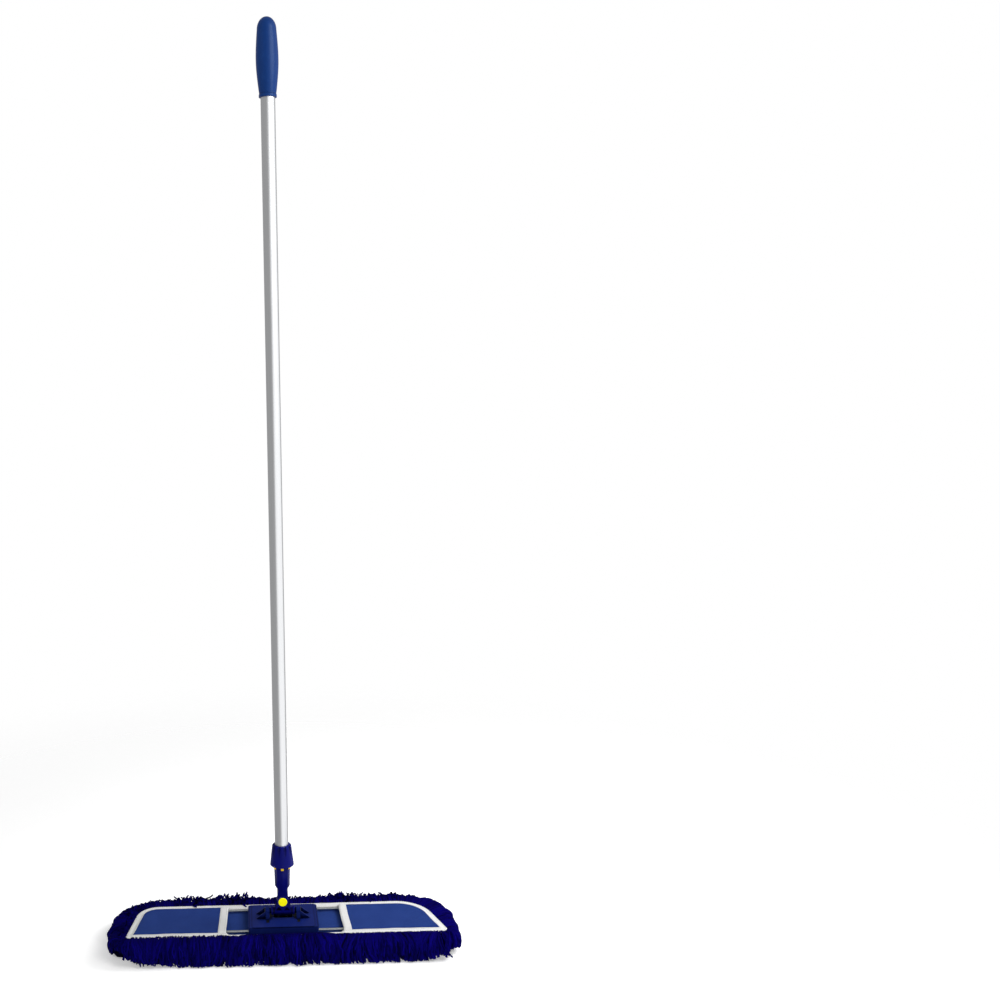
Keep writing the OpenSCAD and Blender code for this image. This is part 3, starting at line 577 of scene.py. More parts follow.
def pocket_height(x, y):
    d = inside(x, y)
    seam = CANVAS_Z + SEAM + edge_lift(y) * (1 - ease(0, LIFT_WIDTH, d))
    over_wire = ease(*RISE_FROM_TO, d) * (WIRE_TOP + OVER_WIRE - CANVAS_Z - SEAM)
    sag = SAG * ease(*SAG_FROM_TO, d)
    return seam + over_wire - sag + creases(x, y, POCKET_PULLS) * ease(*PULL_FROM_TO, d)


def tape_height(x, y):
    pocket = pocket_height(x, y) + OVER_POCKET
    bare = canvas_height(x, y) + OVER_CANVAS
    mouth = np.where(x < 0, MOUTH_X[-1], MOUTH_X[1])
    share = ease(*MOUTH_STEP, np.abs(x) - mouth)
    return bare * (1 - share) + pocket * share


def cloth_grid(name, x_of, columns, rows, height, inset, thick):
    """A sheet on a grid: columns along x, and rows from the front edge to the back edge."""
    across = np.linspace(0, 1, rows)
    table_y = np.linspace(-HALF_Y, HALF_Y, 2001)
    verts = []
    for u in np.linspace(0, 1, columns):
        mid = x_of(u, 0.0)
        good = table_y[inside(np.full_like(table_y, mid), table_y) >= inset]
        ys = good[0] + (good[-1] - good[0]) * across
        xs = np.array([x_of(u, y) for y in ys])
        verts += list(zip(xs * MM, ys * MM, height(xs, ys) * MM))
    faces = [(i * rows + j, (i + 1) * rows + j, (i + 1) * rows + j + 1, i * rows + j + 1)
             for i in range(columns - 1) for j in range(rows - 1)]
    mesh = bpy.data.meshes.new(name)
    mesh.from_pydata(verts, [], faces)
    mesh.shade_smooth()
    mesh.materials.append(canvas_cloth)
    sheet = linked(name, mesh)
    if mesh.polygons[0].normal.z < 0:
        mesh.flip_normals()
    wall = sheet.modifiers.new("cloth_thickness", "SOLIDIFY")
    wall.thickness, wall.offset = thick, -1
    return sheet


# %% The canvas and the two pockets
CANVAS_INSET, POCKET_INSET, MOUTH_INSET, MOUTH_SPLAY = 0.6, 1.2, 0.6, 0.04


def canvas_x(u, y):
    return (u - 1) * (END_X[-1] - CANVAS_INSET) + u * (END_X[1] - CANVAS_INSET)


def mouth_line(y, sign):
    return MOUTH_X[sign] + MOUTH_INSET - MOUTH_SPLAY * y


canvas = cloth_grid("canvas", canvas_x, columns=200, rows=48, height=canvas_height, inset=0.5,
                    thick=0.9 * MM)
pockets = {}
for side_name, sign in SIDES:
    def pocket_x(u, y, sign=sign):
        near, far = mouth_line(y, sign), END_X[sign] - POCKET_INSET
        return sign * (near + (far - near) * u)
    pockets[side_name] = cloth_grid(side_name + "_pocket_cloth", pocket_x, columns=80, rows=60,
                                    height=pocket_height, inset=1.0, thick=0.7 * MM)

# %% [markdown]
# ## White tapes
# A woven tape is folded over the raw edge of the head and sewn through, and a straight piece binds the
# mouth of each pocket. A tape is swept: one flat folded section is carried round the edge, following the
# cloth below it. Its own UV map runs along it, so the weave turns with the tape.

# %% Sweep a folded section
TAPE_SHARP = math.radians(50)


def face_outwards(mesh, triangles=False):
    bm = bmesh.new()
    bm.from_mesh(mesh)
    if triangles:
        bmesh.ops.triangulate(bm, faces=bm.faces)
    bmesh.ops.recalc_face_normals(bm, faces=bm.faces)
    bm.to_mesh(mesh)
    bm.free()


def swept(name, rings, closed, along, around):
    """rings: (stations, section points, xyz) in mm, where the section is a closed loop."""
    n, m = rings.shape[:2]
    mesh = bpy.data.meshes.new(name)
    faces, uvs = [], []
    for i in range(n if closed else n - 1):
        for k in range(m):
            k1, i1 = (k + 1) % m, (i + 1) % n
            faces.append((i * m + k, i1 * m + k, i1 * m + k1, i * m + k1))
            a, b = along[i], along[i + 1]
            uvs += [(a, around[k]), (b, around[k]), (b, around[k + 1]), (a, around[k + 1])]
    if not closed:
        faces += [tuple(range(m)), tuple((n - 1) * m + k for k in reversed(range(m)))]
        uvs += [(0, 0)] * (2 * m)
    mesh.from_pydata((rings.reshape(-1, 3) * MM).tolist(), [], faces)
    layer = mesh.uv_layers.new(name="along_tape")
    layer.data.foreach_set("uv", (np.array(uvs) * MM).astype(np.float32).ravel())
    face_outwards(mesh)
    mesh.shade_smooth()
    mesh.set_sharp_from_angle(angle=TAPE_SHARP)
    mesh.materials.append(tape_cloth)
    return linked(name, mesh)


# %% The binding round the edge
RIPPLE_RISE = 0.12
walk = edge_walk(step=2.0)
length = walked(walk)
ripple = 0.35 * np.sin(length[:-1] / 19) + 0.25 * np.sin(length[:-1] / 7.3 + 1)
# Distance inside the edge and height over the cloth, over the top, down the fold and back below.
section = [(TAPE_W, 0.0), (TAPE_W - 0.4, 0.45), (8.0, 0.5), (4.5, 0.55), (1.5, 0.5), (0.2, 0.2),
           (-0.7, -0.8), (-0.8, -2.6), (-0.3, -3.4), (0.1, -2.4), (0.2, -1.2), (1.5, -0.35), (4.5, -0.3),
           (8.0, -0.3), (TAPE_W - 0.2, -0.3)]
rings = np.zeros((len(walk), len(section), 3))
for k, (d, dz) in enumerate(section):
    x, y = inwards(walk, d + (ripple if d > 6 else 0))
    rings[:, k] = np.stack([x, y, tape_height(*inwards(walk, max(d, 0.3))) + dz + RIPPLE_RISE * ripple], 1)
binding = swept("binding_cloth", rings, closed=True, along=length, around=walked(np.array(section)))

# %% The mouth tapes
MOUTH_ENDS, MOUTH_STATIONS = 9.5, 60
# Distance outwards from the mouth and height over the pocket, over the top and back below.
profile = [(-0.9, -0.4), (-0.7, 0.5), (0.2, 1.0), (4, 1.05), (8, 1.05), (11.5, 1.0), (12, 0.7), (11.8, 0.3),
           (8, 0.35), (4, 0.35), (0.6, 0.3), (0.1, -0.4), (0.4, -1.4), (4, -1.5), (4, -2.1), (0.0, -2.1)]
mouth_tapes = {}
for side_name, sign in SIDES:
    ys = np.linspace(-HALF_Y + MOUTH_ENDS, HALF_Y - MOUTH_ENDS, MOUTH_STATIONS)
    mouth = mouth_line(ys, sign)
    rings = np.zeros((len(ys), len(profile), 3))
    for k, (dx, dz) in enumerate(profile):
        x = mouth + dx
        rings[:, k] = np.stack([sign * x, ys, pocket_height(sign * np.maximum(x, mouth), ys) + dz], 1)
    along = np.concatenate([[0], np.cumsum(np.hypot(np.diff(ys), np.diff(rings[:, 3, 2])))])
    mouth_tapes[side_name] = swept(side_name + "_mouth_cloth", rings, closed=False, along=along,
                                   around=walked(np.array(profile)))

# %% [markdown]
# ## Stitches
# Two rows of thread hold each tape. A stitch is the same small bead over and over along a line, which is
# work for Geometry Nodes: the tree walks along guide lines, puts a bead at each step, turns it along the
# line and makes it real.

# %% A tree that sews along lines
GEOMETRY, LINES = "GeometryNodeTree", {"Geometry": "Geometry"}


def close(tree, give, geometry, material):
    real = add(tree, "GeometryNodeRealizeInstances", Geometry=geometry).outputs[0]
    feed(give, Geometry=add(tree, "GeometryNodeSetMaterial", Geometry=real, Material=material).outputs[0])


sewing, take, give = node_group("sewn_row", GEOMETRY, {
    **LINES, "Pitch": NUMBER, "Stitch length": NUMBER, "Thread thickness": NUMBER,
    "Finish": "Material"}, LINES)
line = add(sewing, "GeometryNodeMeshToCurve", Mesh=take["Geometry"]).outputs[0]
dots = add(sewing, "GeometryNodeCurveToPoints", mode="LENGTH", Curve=line, Length=take["Pitch"]).outputs
bead = add(sewing, "GeometryNodeMeshUVSphere", Segments=6, Rings=5, Radius=0.5).outputs["Mesh"]
shape = add(sewing, "CombineXYZ", X=take["Thread thickness"], Y=take["Thread thickness"],
            Z=take["Stitch length"]).outputs[0]
sewn = add(sewing, "GeometryNodeInstanceOnPoints", Points=dots["Points"], Instance=bead,
           Rotation=dots["Rotation"], Scale=shape).outputs[0]
close(sewing, give, sewn, take["Finish"])


def guides_mesh(name, lines, tones_and_painted_shades=None, thicks=None):
    """Lines of points in mm as a mesh of edges, with a tone that carries painted shade, and a thickness at
    each point.
    """
    counts = [len(p) for p in lines]
    points = np.concatenate(lines) * MM
    starts = np.concatenate([[0], np.cumsum(counts)[:-1]])
    inner = np.concatenate([np.arange(s, s + c - 1) for s, c in zip(starts, counts)])
    mesh = bpy.data.meshes.new(name)
    mesh.vertices.add(len(points))
    mesh.vertices.foreach_set("co", points.astype(np.float32).ravel())
    mesh.edges.add(len(inner))
    mesh.edges.foreach_set("vertices", np.stack([inner, inner + 1], 1).astype(np.int32).ravel())
    for title, values in (("tone_and_painted_shade", tones_and_painted_shades), ("thick", thicks)):
        if values is not None:
            numbers = np.concatenate(values).astype(np.float32)
            mesh.attributes.new(title, "FLOAT", "POINT").data.foreach_set("value", numbers)
    mesh.update()
    return mesh


def grown(name, guide, tree, **settings):
    """Runs a tree on a guide mesh and keeps the result as a plain mesh."""
    source = linked(name + "_guide", guide)
    modifier = source.modifiers.new(tree.name, "NODES")
    modifier.node_group = tree
    for item in tree.interface.items_tree:
        title = item.name.replace(" ", "_")
        if title in settings:
            modifier[item.identifier] = settings[title]
    bpy.context.view_layer.update()
    made = bpy.data.meshes.new_from_object(source.evaluated_get(bpy.context.evaluated_depsgraph_get()))
    made.name = name
    bpy.data.objects.remove(source)
    bpy.data.meshes.remove(guide)
    print(name, len(made.polygons), "faces")
    return linked(name, made)


# %% Sew the tapes down
TAPE_ROWS, MOUTH_ROWS, ROW_ENDS = (1.6, 9.4), (1.6, 10.2), 11
OVER_TAPE, OVER_MOUTH = 0.62, 1.15
rows = []
for d in TAPE_ROWS:
    x, y = inwards(walk, d)
    row = np.stack([x, y, tape_height(x, y) + OVER_TAPE + RIPPLE_RISE * ripple], 1)
    rows.append(np.concatenate([row, row[:1]]))
for _, sign in SIDES:
    ys = np.linspace(-HALF_Y + ROW_ENDS, HALF_Y - ROW_ENDS, MOUTH_STATIONS)
    for dx in MOUTH_ROWS:
        x = sign * (mouth_line(ys, sign) + dx)
        rows.append(np.stack([x, ys, pocket_height(x, ys) + OVER_MOUTH], 1))
seams = grown("tape_stitches", guides_mesh("stitch_lines", rows), sewing, Pitch=0.0038,
              Stitch_length=0.0027, Thread_thickness=0.0006, Finish=stitch_thread)

# %% Cloth pieces ride on the head
for piece, node, slot in (
    (canvas, "backing_canvas", "canvas"), (pockets["left"], "left_pocket", "canvas"),
    (pockets["right"], "right_pocket", "canvas"), (binding, "binding_tape", "tape"),
    (mouth_tapes["left"], "left_pocket_tape", "tape"), (mouth_tapes["right"], "right_pocket_tape", "tape"),
):
    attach(piece, "head")
    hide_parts(node)
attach(seams, "head")


for side_name, sign in SIDES:
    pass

# %% [markdown]
# ## Yarn
# Thousands of cut yarns hang from the edge of the canvas and lie under it. Each is a soft three-ply tube.
# Hair particles would do for a picture, but a part needs real yarns that export. So guide lines are laid
# out with a seeded generator, yarn by yarn, and one Geometry Nodes tree makes each of them a wavy tube.

# %% A tree that spins yarn on guide lines
def captured(tree, title, geometry, value):
    """Keeps a value with a curve, and gives back the curve and the value."""
    node = add(tree, "GeometryNodeCaptureAttribute", Geometry=geometry)
    node.capture_items.new("FLOAT", title)
    put(node.inputs[title], value)
    return node.outputs["Geometry"], node.outputs[title]


spinning, take, give = node_group("spun_yarn", GEOMETRY, {
    **LINES, "Yarn radius": NUMBER, "Sides": "Int", "Wave": NUMBER, "Waves per metre": NUMBER, "Seed": NUMBER,
    "Finish": "Material"}, LINES)
line = add(spinning, "GeometryNodeMeshToCurve", Mesh=take["Geometry"]).outputs[0]
along = add(spinning, "GeometryNodeSplineParameter").outputs
kink = add(spinning, "TexNoise", noise_dimensions="4D", Detail=1.0, Scale=take["Waves per metre"],
           W=take["Seed"]).outputs["Color"]
centred = vector_node(spinning, "SUBTRACT", kink, (0.5, 0.5, 0.5))[0]
grow = calc(spinning, "MULTIPLY", along["Factor"], take["Wave"])
sway = vector_node(spinning, "SCALE", centred, Scale=grow)[0]
waved = add(spinning, "GeometryNodeSetPosition", Geometry=line, Offset=sway).outputs[0]
here = add(spinning, "GeometryNodeInputPosition").outputs[0]
apart = add(spinning, "SeparateXYZ", Vector=here).outputs
on_floor = add(spinning, "CombineXYZ", X=apart["X"], Y=apart["Y"],
               Z=calc(spinning, "MAXIMUM", apart["Z"], take["Yarn radius"])).outputs[0]
laid = add(spinning, "GeometryNodeSetPosition", Geometry=waved, Position=on_floor).outputs[0]
thick = add(spinning, "GeometryNodeInputNamedAttribute", data_type="FLOAT", Name="thick").outputs["Attribute"]
sized = add(spinning, "GeometryNodeSetCurveRadius", Curve=laid, Radius=thick).outputs[0]
curve, reach = captured(spinning, "Reach", sized, along["Length"])
ring = add(spinning, "GeometryNodeCurvePrimitiveCircle", Resolution=take["Sides"],
           Radius=take["Yarn radius"]).outputs["Curve"]
ring, clock = captured(spinning, "Clock", ring, along["Factor"])
spun = add(spinning, "GeometryNodeCurveToMesh", Curve=curve, Profile_Curve=ring, Fill_Caps=True).outputs[0]
turned = calc(spinning, "MULTIPLY", clock, 2 * math.pi)
turn = add(spinning, "CombineXYZ", X=calc(spinning, "COSINE", turned),
           Y=calc(spinning, "SINE", turned), Z=reach).outputs[0]
named = add(spinning, "GeometryNodeStoreNamedAttribute", data_type="FLOAT_VECTOR", domain="POINT",
            Geometry=spun, Name="turn", Value=turn).outputs[0]
smooth = add(spinning, "GeometryNodeSetShadeSmooth", Geometry=named).outputs[0]
close(spinning, give, smooth, take["Finish"])

# %% [markdown]
# ### Laying the yarns
# A yarn of the fringe starts under the edge of the canvas, goes out over the pile and falls to the floor.
# Along the front it falls almost straight, and at the back it is fluffed up, with cut ends that stand up.
# The lower edge climbs at both front corners, where the pile is cut shorter. In front, some yarns lie over
# the tape: a little way at the left, hardly at the right, and over its whole width before the plate.
#
# Yarns keep together in locks, so each lock shares its lean, and neighbours close up towards the tips. In
# what follows, b is the turn round the edge in degrees: 0 at the front, about 90 at the ends, 180 behind.

# %% Where the fringe starts and how far it reaches
rng = np.random.default_rng(41)
PILE_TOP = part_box("yarn_pile")[1].z / MM
FRONT_REACH = -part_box("front_fringe")[0].y / MM - HALF_Y
BACK_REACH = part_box("back_fringe")[1].y / MM - HALF_Y
CORNER_REACH, END_REACH = 19.0, {-1: 39.5, 1: 37.0}
CORNER_RISE, LEFT_CLIMB, RIGHT_CLIMB = 8.0, (224, 246), (232, 256)
POINTS, LOCK, WALK_OUT = 10, 9.0, 15.0
outer_walk = WALK.copy()
outer_walk[:, :2] += outer_walk[:, 2:] * WALK_OUT
outer_length = walked(outer_walk)
AROUND = outer_length[-1]
LOCKS = int(AROUND / LOCK) + 2
# The third spread darkens or lightens each lock at random, as painted shade between locks.
lock_lean, lock_push, lock_painted_shade = (rng.normal(0, spread, LOCKS) for spread in (2.4, 1.3, 0.12))


def column(values):
    return np.asarray(values)[:, None]


def along_yarns(count):
    return np.repeat(np.linspace(0, 1, POINTS)[None, :], count, 0)


def turn_of(walk):
    return np.degrees(np.arccos(np.clip(-walk[:, 3], -1, 1)))


def on_edge(s):
    """Edge points and outward normals, and their turn b."""
    table = np.concatenate([WALK, WALK[:1]])
    got = np.stack([np.interp(s % AROUND, outer_length, table[:, k]) for k in range(4)], 1)
    got[:, 2:] /= np.hypot(got[:, 2], got[:, 3])[:, None]
    return got, turn_of(got)


def fringe_reach(root, b):
    """Reach of the fringe there, which grows along the slanted ends."""
    got = np.zeros(len(b))
    for side in (-1, 1):
        at_end = END_REACH[side] + root[:, 1] * math.sin(END_SLANT[side])
        turn = 90 + math.degrees(END_SLANT[side])
        share = np.interp(b, [45, turn, 180], [0, 1, 0])
        rest = np.interp(b, [0, 45, turn, 180], [FRONT_REACH, CORNER_REACH, 0, BACK_REACH])
        got = np.where(root[:, 0] * side > 0, rest + share * at_end, got)
    return got


def corner_rise(x):
    """How far the lower edge of the pile climbs at the front corners."""
    return CORNER_RISE * (ease(*LEFT_CLIMB, -x) + ease(*RIGHT_CLIMB, x))


def swing(t, low, high, slow, fast):
    """A random wave along each yarn, with a size in mm and turns in radians, each from a range."""
    n = len(t)
    size, turns, start = rng.uniform(low, high, n), rng.uniform(slow, fast, n), rng.uniform(0, 6.3, n)
    return column(size) * np.sin(t * column(turns) + column(start))


def placed(root, out, lean, rise):
    x = root[:, 0:1] + root[:, 2:3] * out - root[:, 3:4] * lean
    y = root[:, 1:2] + root[:, 3:4] * out + root[:, 2:3] * lean
    return np.stack([x, y, np.maximum(rise, 1.0)], 2)


# %% Yarns that fall over the pile
# At each turn b: how far a yarn bends in degrees, then heights in mm, of its start over the edge, of its
# tip over the floor, and of its fluffed back over a plain fall.
BEND = [0, 60, 105, 150, 180], [92, 100, 128, 110, 95]
START_RISE = [0, 60, 110], [2.6, 1.0, -1.2]
TIP_RISE = [0, 20, 45, 70, 105], [0.5, 4.5, 14.0, 12.0, 1.5]
FLUFF = [0, 50, 110, 150, 180], [1.5, 2.5, 5.0, 6.0, 10.0]
# The last of these lightens the yarns at the right end: painted light.
RIGHT_BEND, RIGHT_FLUFF, RIGHT_PAINTED_LIGHT = 10, 3, 0.2
LAYER_DROP, LEFT_TIP_RISE, FLOW, RIGHT_FLOW, CLOSING_UP = 10.0, 7.0, 4.0, 6.0, 0.12


def falling(count, layer_low, layer_high, shortest):
    """One layer of the fringe; q is how far out in the pile a yarn lies, from 0 to about 1."""
    s0 = np.sort(rng.uniform(0, AROUND, count))
    root, b = on_edge(s0)
    lock = (s0 / LOCK + 0.3 * np.sin(s0 / 31)).astype(int) % LOCKS
    q = column(rng.uniform(layer_low, layer_high, count))
    t = along_yarns(count) * column(rng.uniform(shortest, 1.0, count))
    x = root[:, 0]
    right_end = ease(180, 240, x) * ease(30, 70, b)
    bend = column(np.radians(np.interp(b, *BEND) + RIGHT_BEND * right_end))
    turn = t * bend
    reach = column(fringe_reach(root, b) + lock_push[lock]) * q
    top = PILE_TOP + column(edge_lift(root[:, 1]) + np.interp(b, *START_RISE)) - LAYER_DROP * (1 - q)
    tip = np.interp(b, *TIP_RISE) + LEFT_TIP_RISE * ease(160, 215, -x) * (b < 60)
    tip = column((tip + corner_rise(x) * (b < 80)) * rng.uniform(0.8, 1.2, count))
    fluffed = np.interp(b, *FLUFF) * rng.uniform(0.7, 1.2, count)
    fluffed = column(fluffed + RIGHT_FLUFF * right_end) * q
    out = reach * np.sin(turn) - 1.0 * (1 - t) + swing(t, 0.2, 1.2, 5, 12) * t
    fall = (np.cos(turn) - np.cos(bend)) / (1 - np.cos(bend))
    rise = tip + (top - tip) * fall + fluffed * np.sin(math.pi * np.minimum(t * 1.15, 1))
    rise = rise + swing(t, 0.1, 0.7, 4, 10) * t
    flow = column(FLOW + RIGHT_FLOW * ease(40, 90, x) * (b < 80))
    phase = column(s0 / 16 + 0.8 * np.sin(s0 / 41))
    swirl = flow * (np.sin(phase + 2.8 * t) - np.sin(phase))
    lean = swirl + column(lock_lean[lock] + 3.0 * np.sin(s0 / 53) + rng.normal(0, 1.8, count)) * t ** 1.3
    lean = lean + CLOSING_UP * column((lock + 0.5) * LOCK - s0) * t + swing(t, 1.0, 3.4, 5, 13) * t ** 0.7
    # Painted shade and light in each yarn's tone: yarns deep in the pile are darker, each lock is darker or
    # lighter as painted shade between locks, and the right end is painted lighter, as painted light from the
    # right.
    shade = 0.12 + 0.5 * ease(0.6, 0.95, q[:, 0]) + lock_painted_shade[lock] + RIGHT_PAINTED_LIGHT * right_end
    return placed(root, out, lean, rise), root, np.clip(rng.normal(shade, 0.24), 0.02, 1.0)


# %% Yarns that lie over the front tape
COVER_X, BEFORE_PLATE, WHOLE_TAPE = 4, (58, 84), 11.5
LEFT_COVER, RIGHT_COVER, THIN_COVER = 4.0, 1.5, 0.4


def over_the_tape(count):
    """Each yarn is a curve with four handles, and middle is 1 before the plate."""
    s0 = rng.uniform(0, AROUND, count * 6)
    root, b = on_edge(s0)
    middle = 1 - ease(*BEFORE_PLATE, np.abs(root[:, 0] - COVER_X))
    keep = (b < 20) & (rng.uniform(0, 1, len(s0)) < THIN_COVER + (1 - THIN_COVER) * middle)
    root, middle = root[keep][:count], middle[keep][:count]
    n, x = len(root), root[:, 0]
    t = along_yarns(n)
    d0 = rng.uniform(0.0, 4.0, n) * (1 - 0.7 * middle) + WHOLE_TAPE * middle * rng.uniform(0.75, 1, n)
    d0 = d0 + (LEFT_COVER * ease(50, 100, -x) + RIGHT_COVER * ease(60, 110, x)) * (1 - middle)
    z0, z1 = tape_height(*inwards(root, d0)), tape_height(*inwards(root, 0.5))
    reach = FRONT_REACH * rng.uniform(0.8, 1.02, n)
    outs = [-d0, -0.2 * d0, reach * 0.9, reach]
    low = z1 * rng.uniform(0.1, 0.5, n) + 1.3 * corner_rise(x)
    ups = [z0 - 0.4, z1 + 2.6 + 3.0 * middle, z1 * 0.85, np.minimum(low, z1 * 0.8)]
    share = [(1 - t) ** 3, 3 * (1 - t) ** 2 * t, 3 * (1 - t) * t ** 2, t ** 3]
    out, rise = (sum(column(v) * w for v, w in zip(values, share)) for values in (outs, ups))
    lean = column(rng.normal(0, 3.5, n)) * t + swing(t, 0.4, 2.4, 4, 11) * t
    return placed(root, out, lean, rise), root, np.clip(rng.normal(0.55, 0.25, n), 0.05, 1.0)


# %% Cut ends that stand up along the back
TUFT_LENGTHS, TUFT_CLIMBS = (7, 13.5), (10, 80)


def standing(count):
    """Short yarns that start on the back of the fringe and curl, lower at a few spots."""
    s0 = rng.uniform(0, AROUND, count * 4)
    root, b = on_edge(s0)
    keep = rng.uniform(0, 1, len(s0)) < ease(70, 150, b)
    s0, root, b = s0[keep][:count], root[keep][:count], b[keep][:count]
    n = len(s0)
    lock = (s0 / LOCK).astype(int) % LOCKS
    share = rng.uniform(0.03, 0.85, n)
    start = np.minimum(BACK_REACH, fringe_reach(root, b) * (0.55 + 0.45 * ease(95, 125, b))) * share
    x, y = inwards(root, -start)
    theta = np.arcsin(share)
    z = (PILE_TOP + edge_lift(root[:, 1]) - 3) * np.cos(theta) + 10.5 * np.sin(2 * theta) - 1.5
    low_spots = 1 - 0.35 * np.exp(-((x - 10) / 40) ** 2) - 0.25 * ease(45, 120, x)
    low_spots = low_spots - 0.6 * np.where(x > 0, ease(185, 228, x), 0.6 * ease(212, 240, -x))
    bushy = (0.85 + 0.25 * np.sin(s0 / 37 + 1) + 0.2 * np.sin(s0 / 14)) * low_spots
    step = rng.uniform(*TUFT_LENGTHS, n) * bushy / (POINTS - 1)
    climb = np.radians(rng.uniform(*TUFT_CLIMBS, n))
    curl = np.radians(rng.normal(-10, 110, n))
    swerve = rng.normal(0, 0.45, n) + lock_lean[lock] * 0.16
    coil, turns = rng.uniform(0.2, 1.0, n), rng.uniform(3, 9, n)
    points = [np.stack([x, y, z], 1)]
    for k in range(1, POINTS):
        a = climb + curl * k / POINTS
        aside = swerve + coil * np.sin(turns * k / POINTS + s0)
        x = x + step * (root[:, 2] * np.cos(a) - root[:, 3] * aside)
        y = y + step * (root[:, 3] * np.cos(a) + root[:, 2] * aside)
        z = z + step * np.sin(a)
        points.append(np.stack([x, y, z], 1))
    return np.stack(points, 1), root, np.clip(rng.normal(0.45, 0.28, n), 0.03, 1.0)


# %% The layers of the fringe
# Yarns in a layer, its low and high place in the pile, and the share of its shortest yarn.
LAYERS = ((1850, 0.88, 1.02, 0.95), (1050, 0.70, 0.90, 0.95), (500, 0.5, 0.72, 0.7),
          (550, 0.92, 1.04, 0.55))
TUFTS, COVER_YARNS = 1650, 900
batches = [falling(*layer) for layer in LAYERS]
lines, roots, shades = (np.concatenate([batch[k] for batch in batches]) for k in range(3))
facing = np.degrees(np.arctan2(roots[:, 3], roots[:, 2])) % 360
sides = {side_name: (facing >= low) & (facing < low + 90)
         for side_name, low in (("front", 225), ("back", 45), ("left", 135))}
sides["right"] = ~(sides["front"] | sides["back"] | sides["left"])
print({k: int(v.sum()) for k, v in sides.items()}, "yarns")


# %% Spin the fringes
def spin(name, picked, shade, seed, wave=0.006, radius=0.00125):
    """Yarns painted a little darker at the root, as painted shade under the canvas edge, and thinner at the
    very tip.
    """
    tone_and_painted_shade = column(shade) * np.linspace(0.75, 1.0, POINTS)[None, :]
    taper = np.concatenate([np.ones(POINTS - 1), [0.75]])[None, :]
    thick = column(rng.uniform(0.75, 1.15, len(picked))) * taper
    guide = guides_mesh(name + "_lines", list(picked), list(tone_and_painted_shade), list(thick))
    return grown(name, guide, spinning, Yarn_radius=radius, Sides=6, Wave=wave, Waves_per_metre=80.0,
                 Seed=float(seed), Finish=yarn_blue)


for seed, (side_name, mask) in enumerate(sides.items()):
    piece = spin(side_name + "_fringe_yarn", lines[mask], shades[mask], seed + 1)
    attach(piece, "head")
    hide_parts(side_name + "_fringe")
for name, (picked, _, shade), seed in (("back_tuft_yarn", standing(TUFTS), 7),
                                       ("front_cover_yarn", over_the_tape(COVER_YARNS), 8)):
    piece = spin(name, picked, shade, seed, wave=0.005, radius=0.0012)
    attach(piece, "head")

# %% [markdown]
# ### Under the canvas
# Below, short yarns lie in clumps. Near the edge they point outwards, and in the middle they point every
# way. A core of matted yarn closes the view between them, dark as painted shade for the inside of the pile.
# It is cut back at the front corners, where the fringe is shorter, and the yarns on it keep behind the
# fringe.

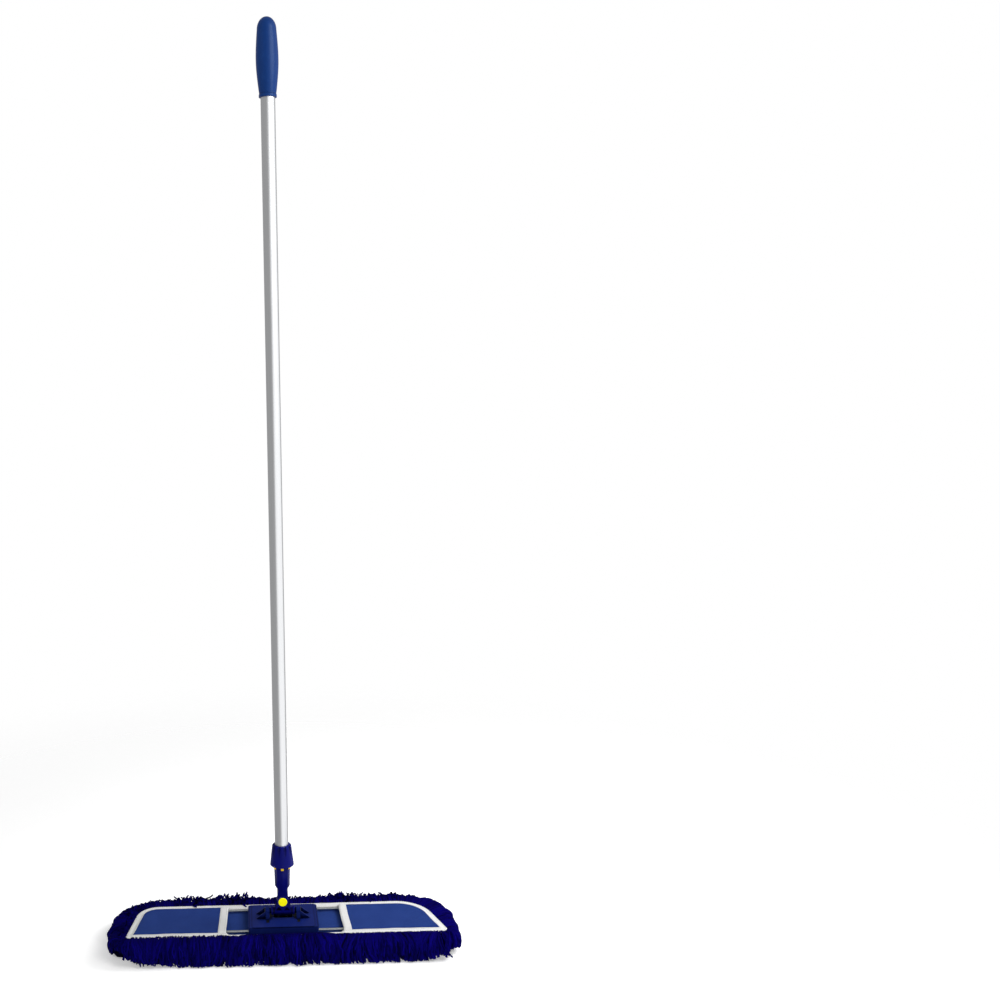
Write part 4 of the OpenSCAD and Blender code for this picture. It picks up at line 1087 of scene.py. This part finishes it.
# %% The matted core, in painted shade
def core():
    # Share of the fringe's reach, more in mm, and height, from the top down.
    levels = [(0.0, -15.0, PILE_TOP - 1.5), (0.0, -1.5, PILE_TOP - 1.5), (0.04, 0.5, PILE_TOP - 3.0),
              (0.42, 0.0, 0.66 * PILE_TOP), (0.60, 0.0, 0.36 * PILE_TOP), (0.62, 0.0, 3.0)]
    walk = edge_walk(step=6.0)
    b = turn_of(walk)
    reach = fringe_reach(walk, b)
    bumps = 0.8 * np.sin(np.arange(len(walk)) * 1.9)
    cut_back = np.interp(b, [0, 25, 60, 90], [0, 15, 15, 0]) * np.where(walk[:, 0] < 0, 1.0, 0.7)
    cut_back = np.maximum(cut_back, 1.6 * corner_rise(walk[:, 0]) * (b < 80))
    rings = np.zeros((len(walk), len(levels), 3))
    for k, (share, more, z) in enumerate(levels):
        out = reach * share + more + bumps - cut_back * (k >= 4)
        rings[:, k] = np.stack([*inwards(walk, -out), z + edge_lift(walk[:, 1]) * (k in (1, 2))], 1)
    n, m = rings.shape[:2]
    faces = [(i * m + k, i * m + k + 1, (i + 1) % n * m + k + 1, (i + 1) % n * m + k)
             for i in range(n) for k in range(m - 1)]
    faces += [tuple(i * m for i in range(n)), tuple(i * m + m - 1 for i in reversed(range(n)))]
    mesh = bpy.data.meshes.new("yarn_core")
    mesh.from_pydata((rings.reshape(-1, 3) * MM).tolist(), [], faces)
    face_outwards(mesh, triangles=True)
    # The core has no tone, so it takes the yarn's deep colour: painted shade for the inside of the pile.
    mesh.materials.append(yarn_blue)
    return linked("yarn_core", mesh)


painted_shade_core = core()

# %% Yarns that lie under the head
UNDER_COUNT, UNDER_LENGTHS, UNDER_DEPTH = 1700, (24, 44), 4.2
x0 = rng.uniform(-HALF_X + 6, HALF_X - 6, UNDER_COUNT)
y0 = rng.uniform(-HALF_Y + 2, HALF_Y - 2, UNDER_COUNT)
good = inside(x0, y0) > 2
x0, y0 = x0[good], y0[good]
count = len(x0)
to_end = ease(HALF_X - 95, HALF_X - 15, np.abs(x0)) * np.sign(x0)
to_side = y0 / HALF_Y
loose = 1 - np.minimum(np.hypot(to_end, to_side), 1)
clump = np.sin(x0 / 9 + 2 * np.sin(y0 / 7)) + np.sin(y0 / 8 - x0 / 21 + 1)
turn = np.arctan2(to_side + 0.03, 1.6 * to_end + 0.03) + clump * (0.18 + 0.8 * loose)
turn = column(turn + rng.normal(0, 0.22, count) * (1 + 2 * loose))
t = along_yarns(count)
run = column(rng.uniform(*UNDER_LENGTHS, count)) * (t - 0.25)
bend = column(rng.normal(0, 7, count)) * t ** 2 + swing(t, 0.5, 2.0, 6, 8)
x = column(x0) + np.cos(turn) * run - np.sin(turn) * bend
y = column(y0) + np.sin(turn) * run + np.cos(turn) * bend
z = 1.2 + column(rng.uniform(0, UNDER_DEPTH, count)) * (1 - 0.7 * t)
front_limit = -64 + 38 * ease(232, 285, -x) + 45 * ease(245, 305, x)
y = y + column(np.maximum((front_limit - y).max(1), 0))
under_shade = rng.normal(0.45, 0.2, count) + 0.16 * np.sin(x0 / 15 + 2 * np.sin(y0 / 11))
laid = np.stack([np.clip(x, -HALF_X - 15, HALF_X + 15), np.clip(y, -HALF_Y - 14, HALF_Y + 20), z], 2)
under = spin("underside_yarn", laid, np.clip(under_shade, 0.05, 1.0), 9)
for piece in (painted_shade_core, under):
    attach(piece, "head")
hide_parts("yarn_pile")
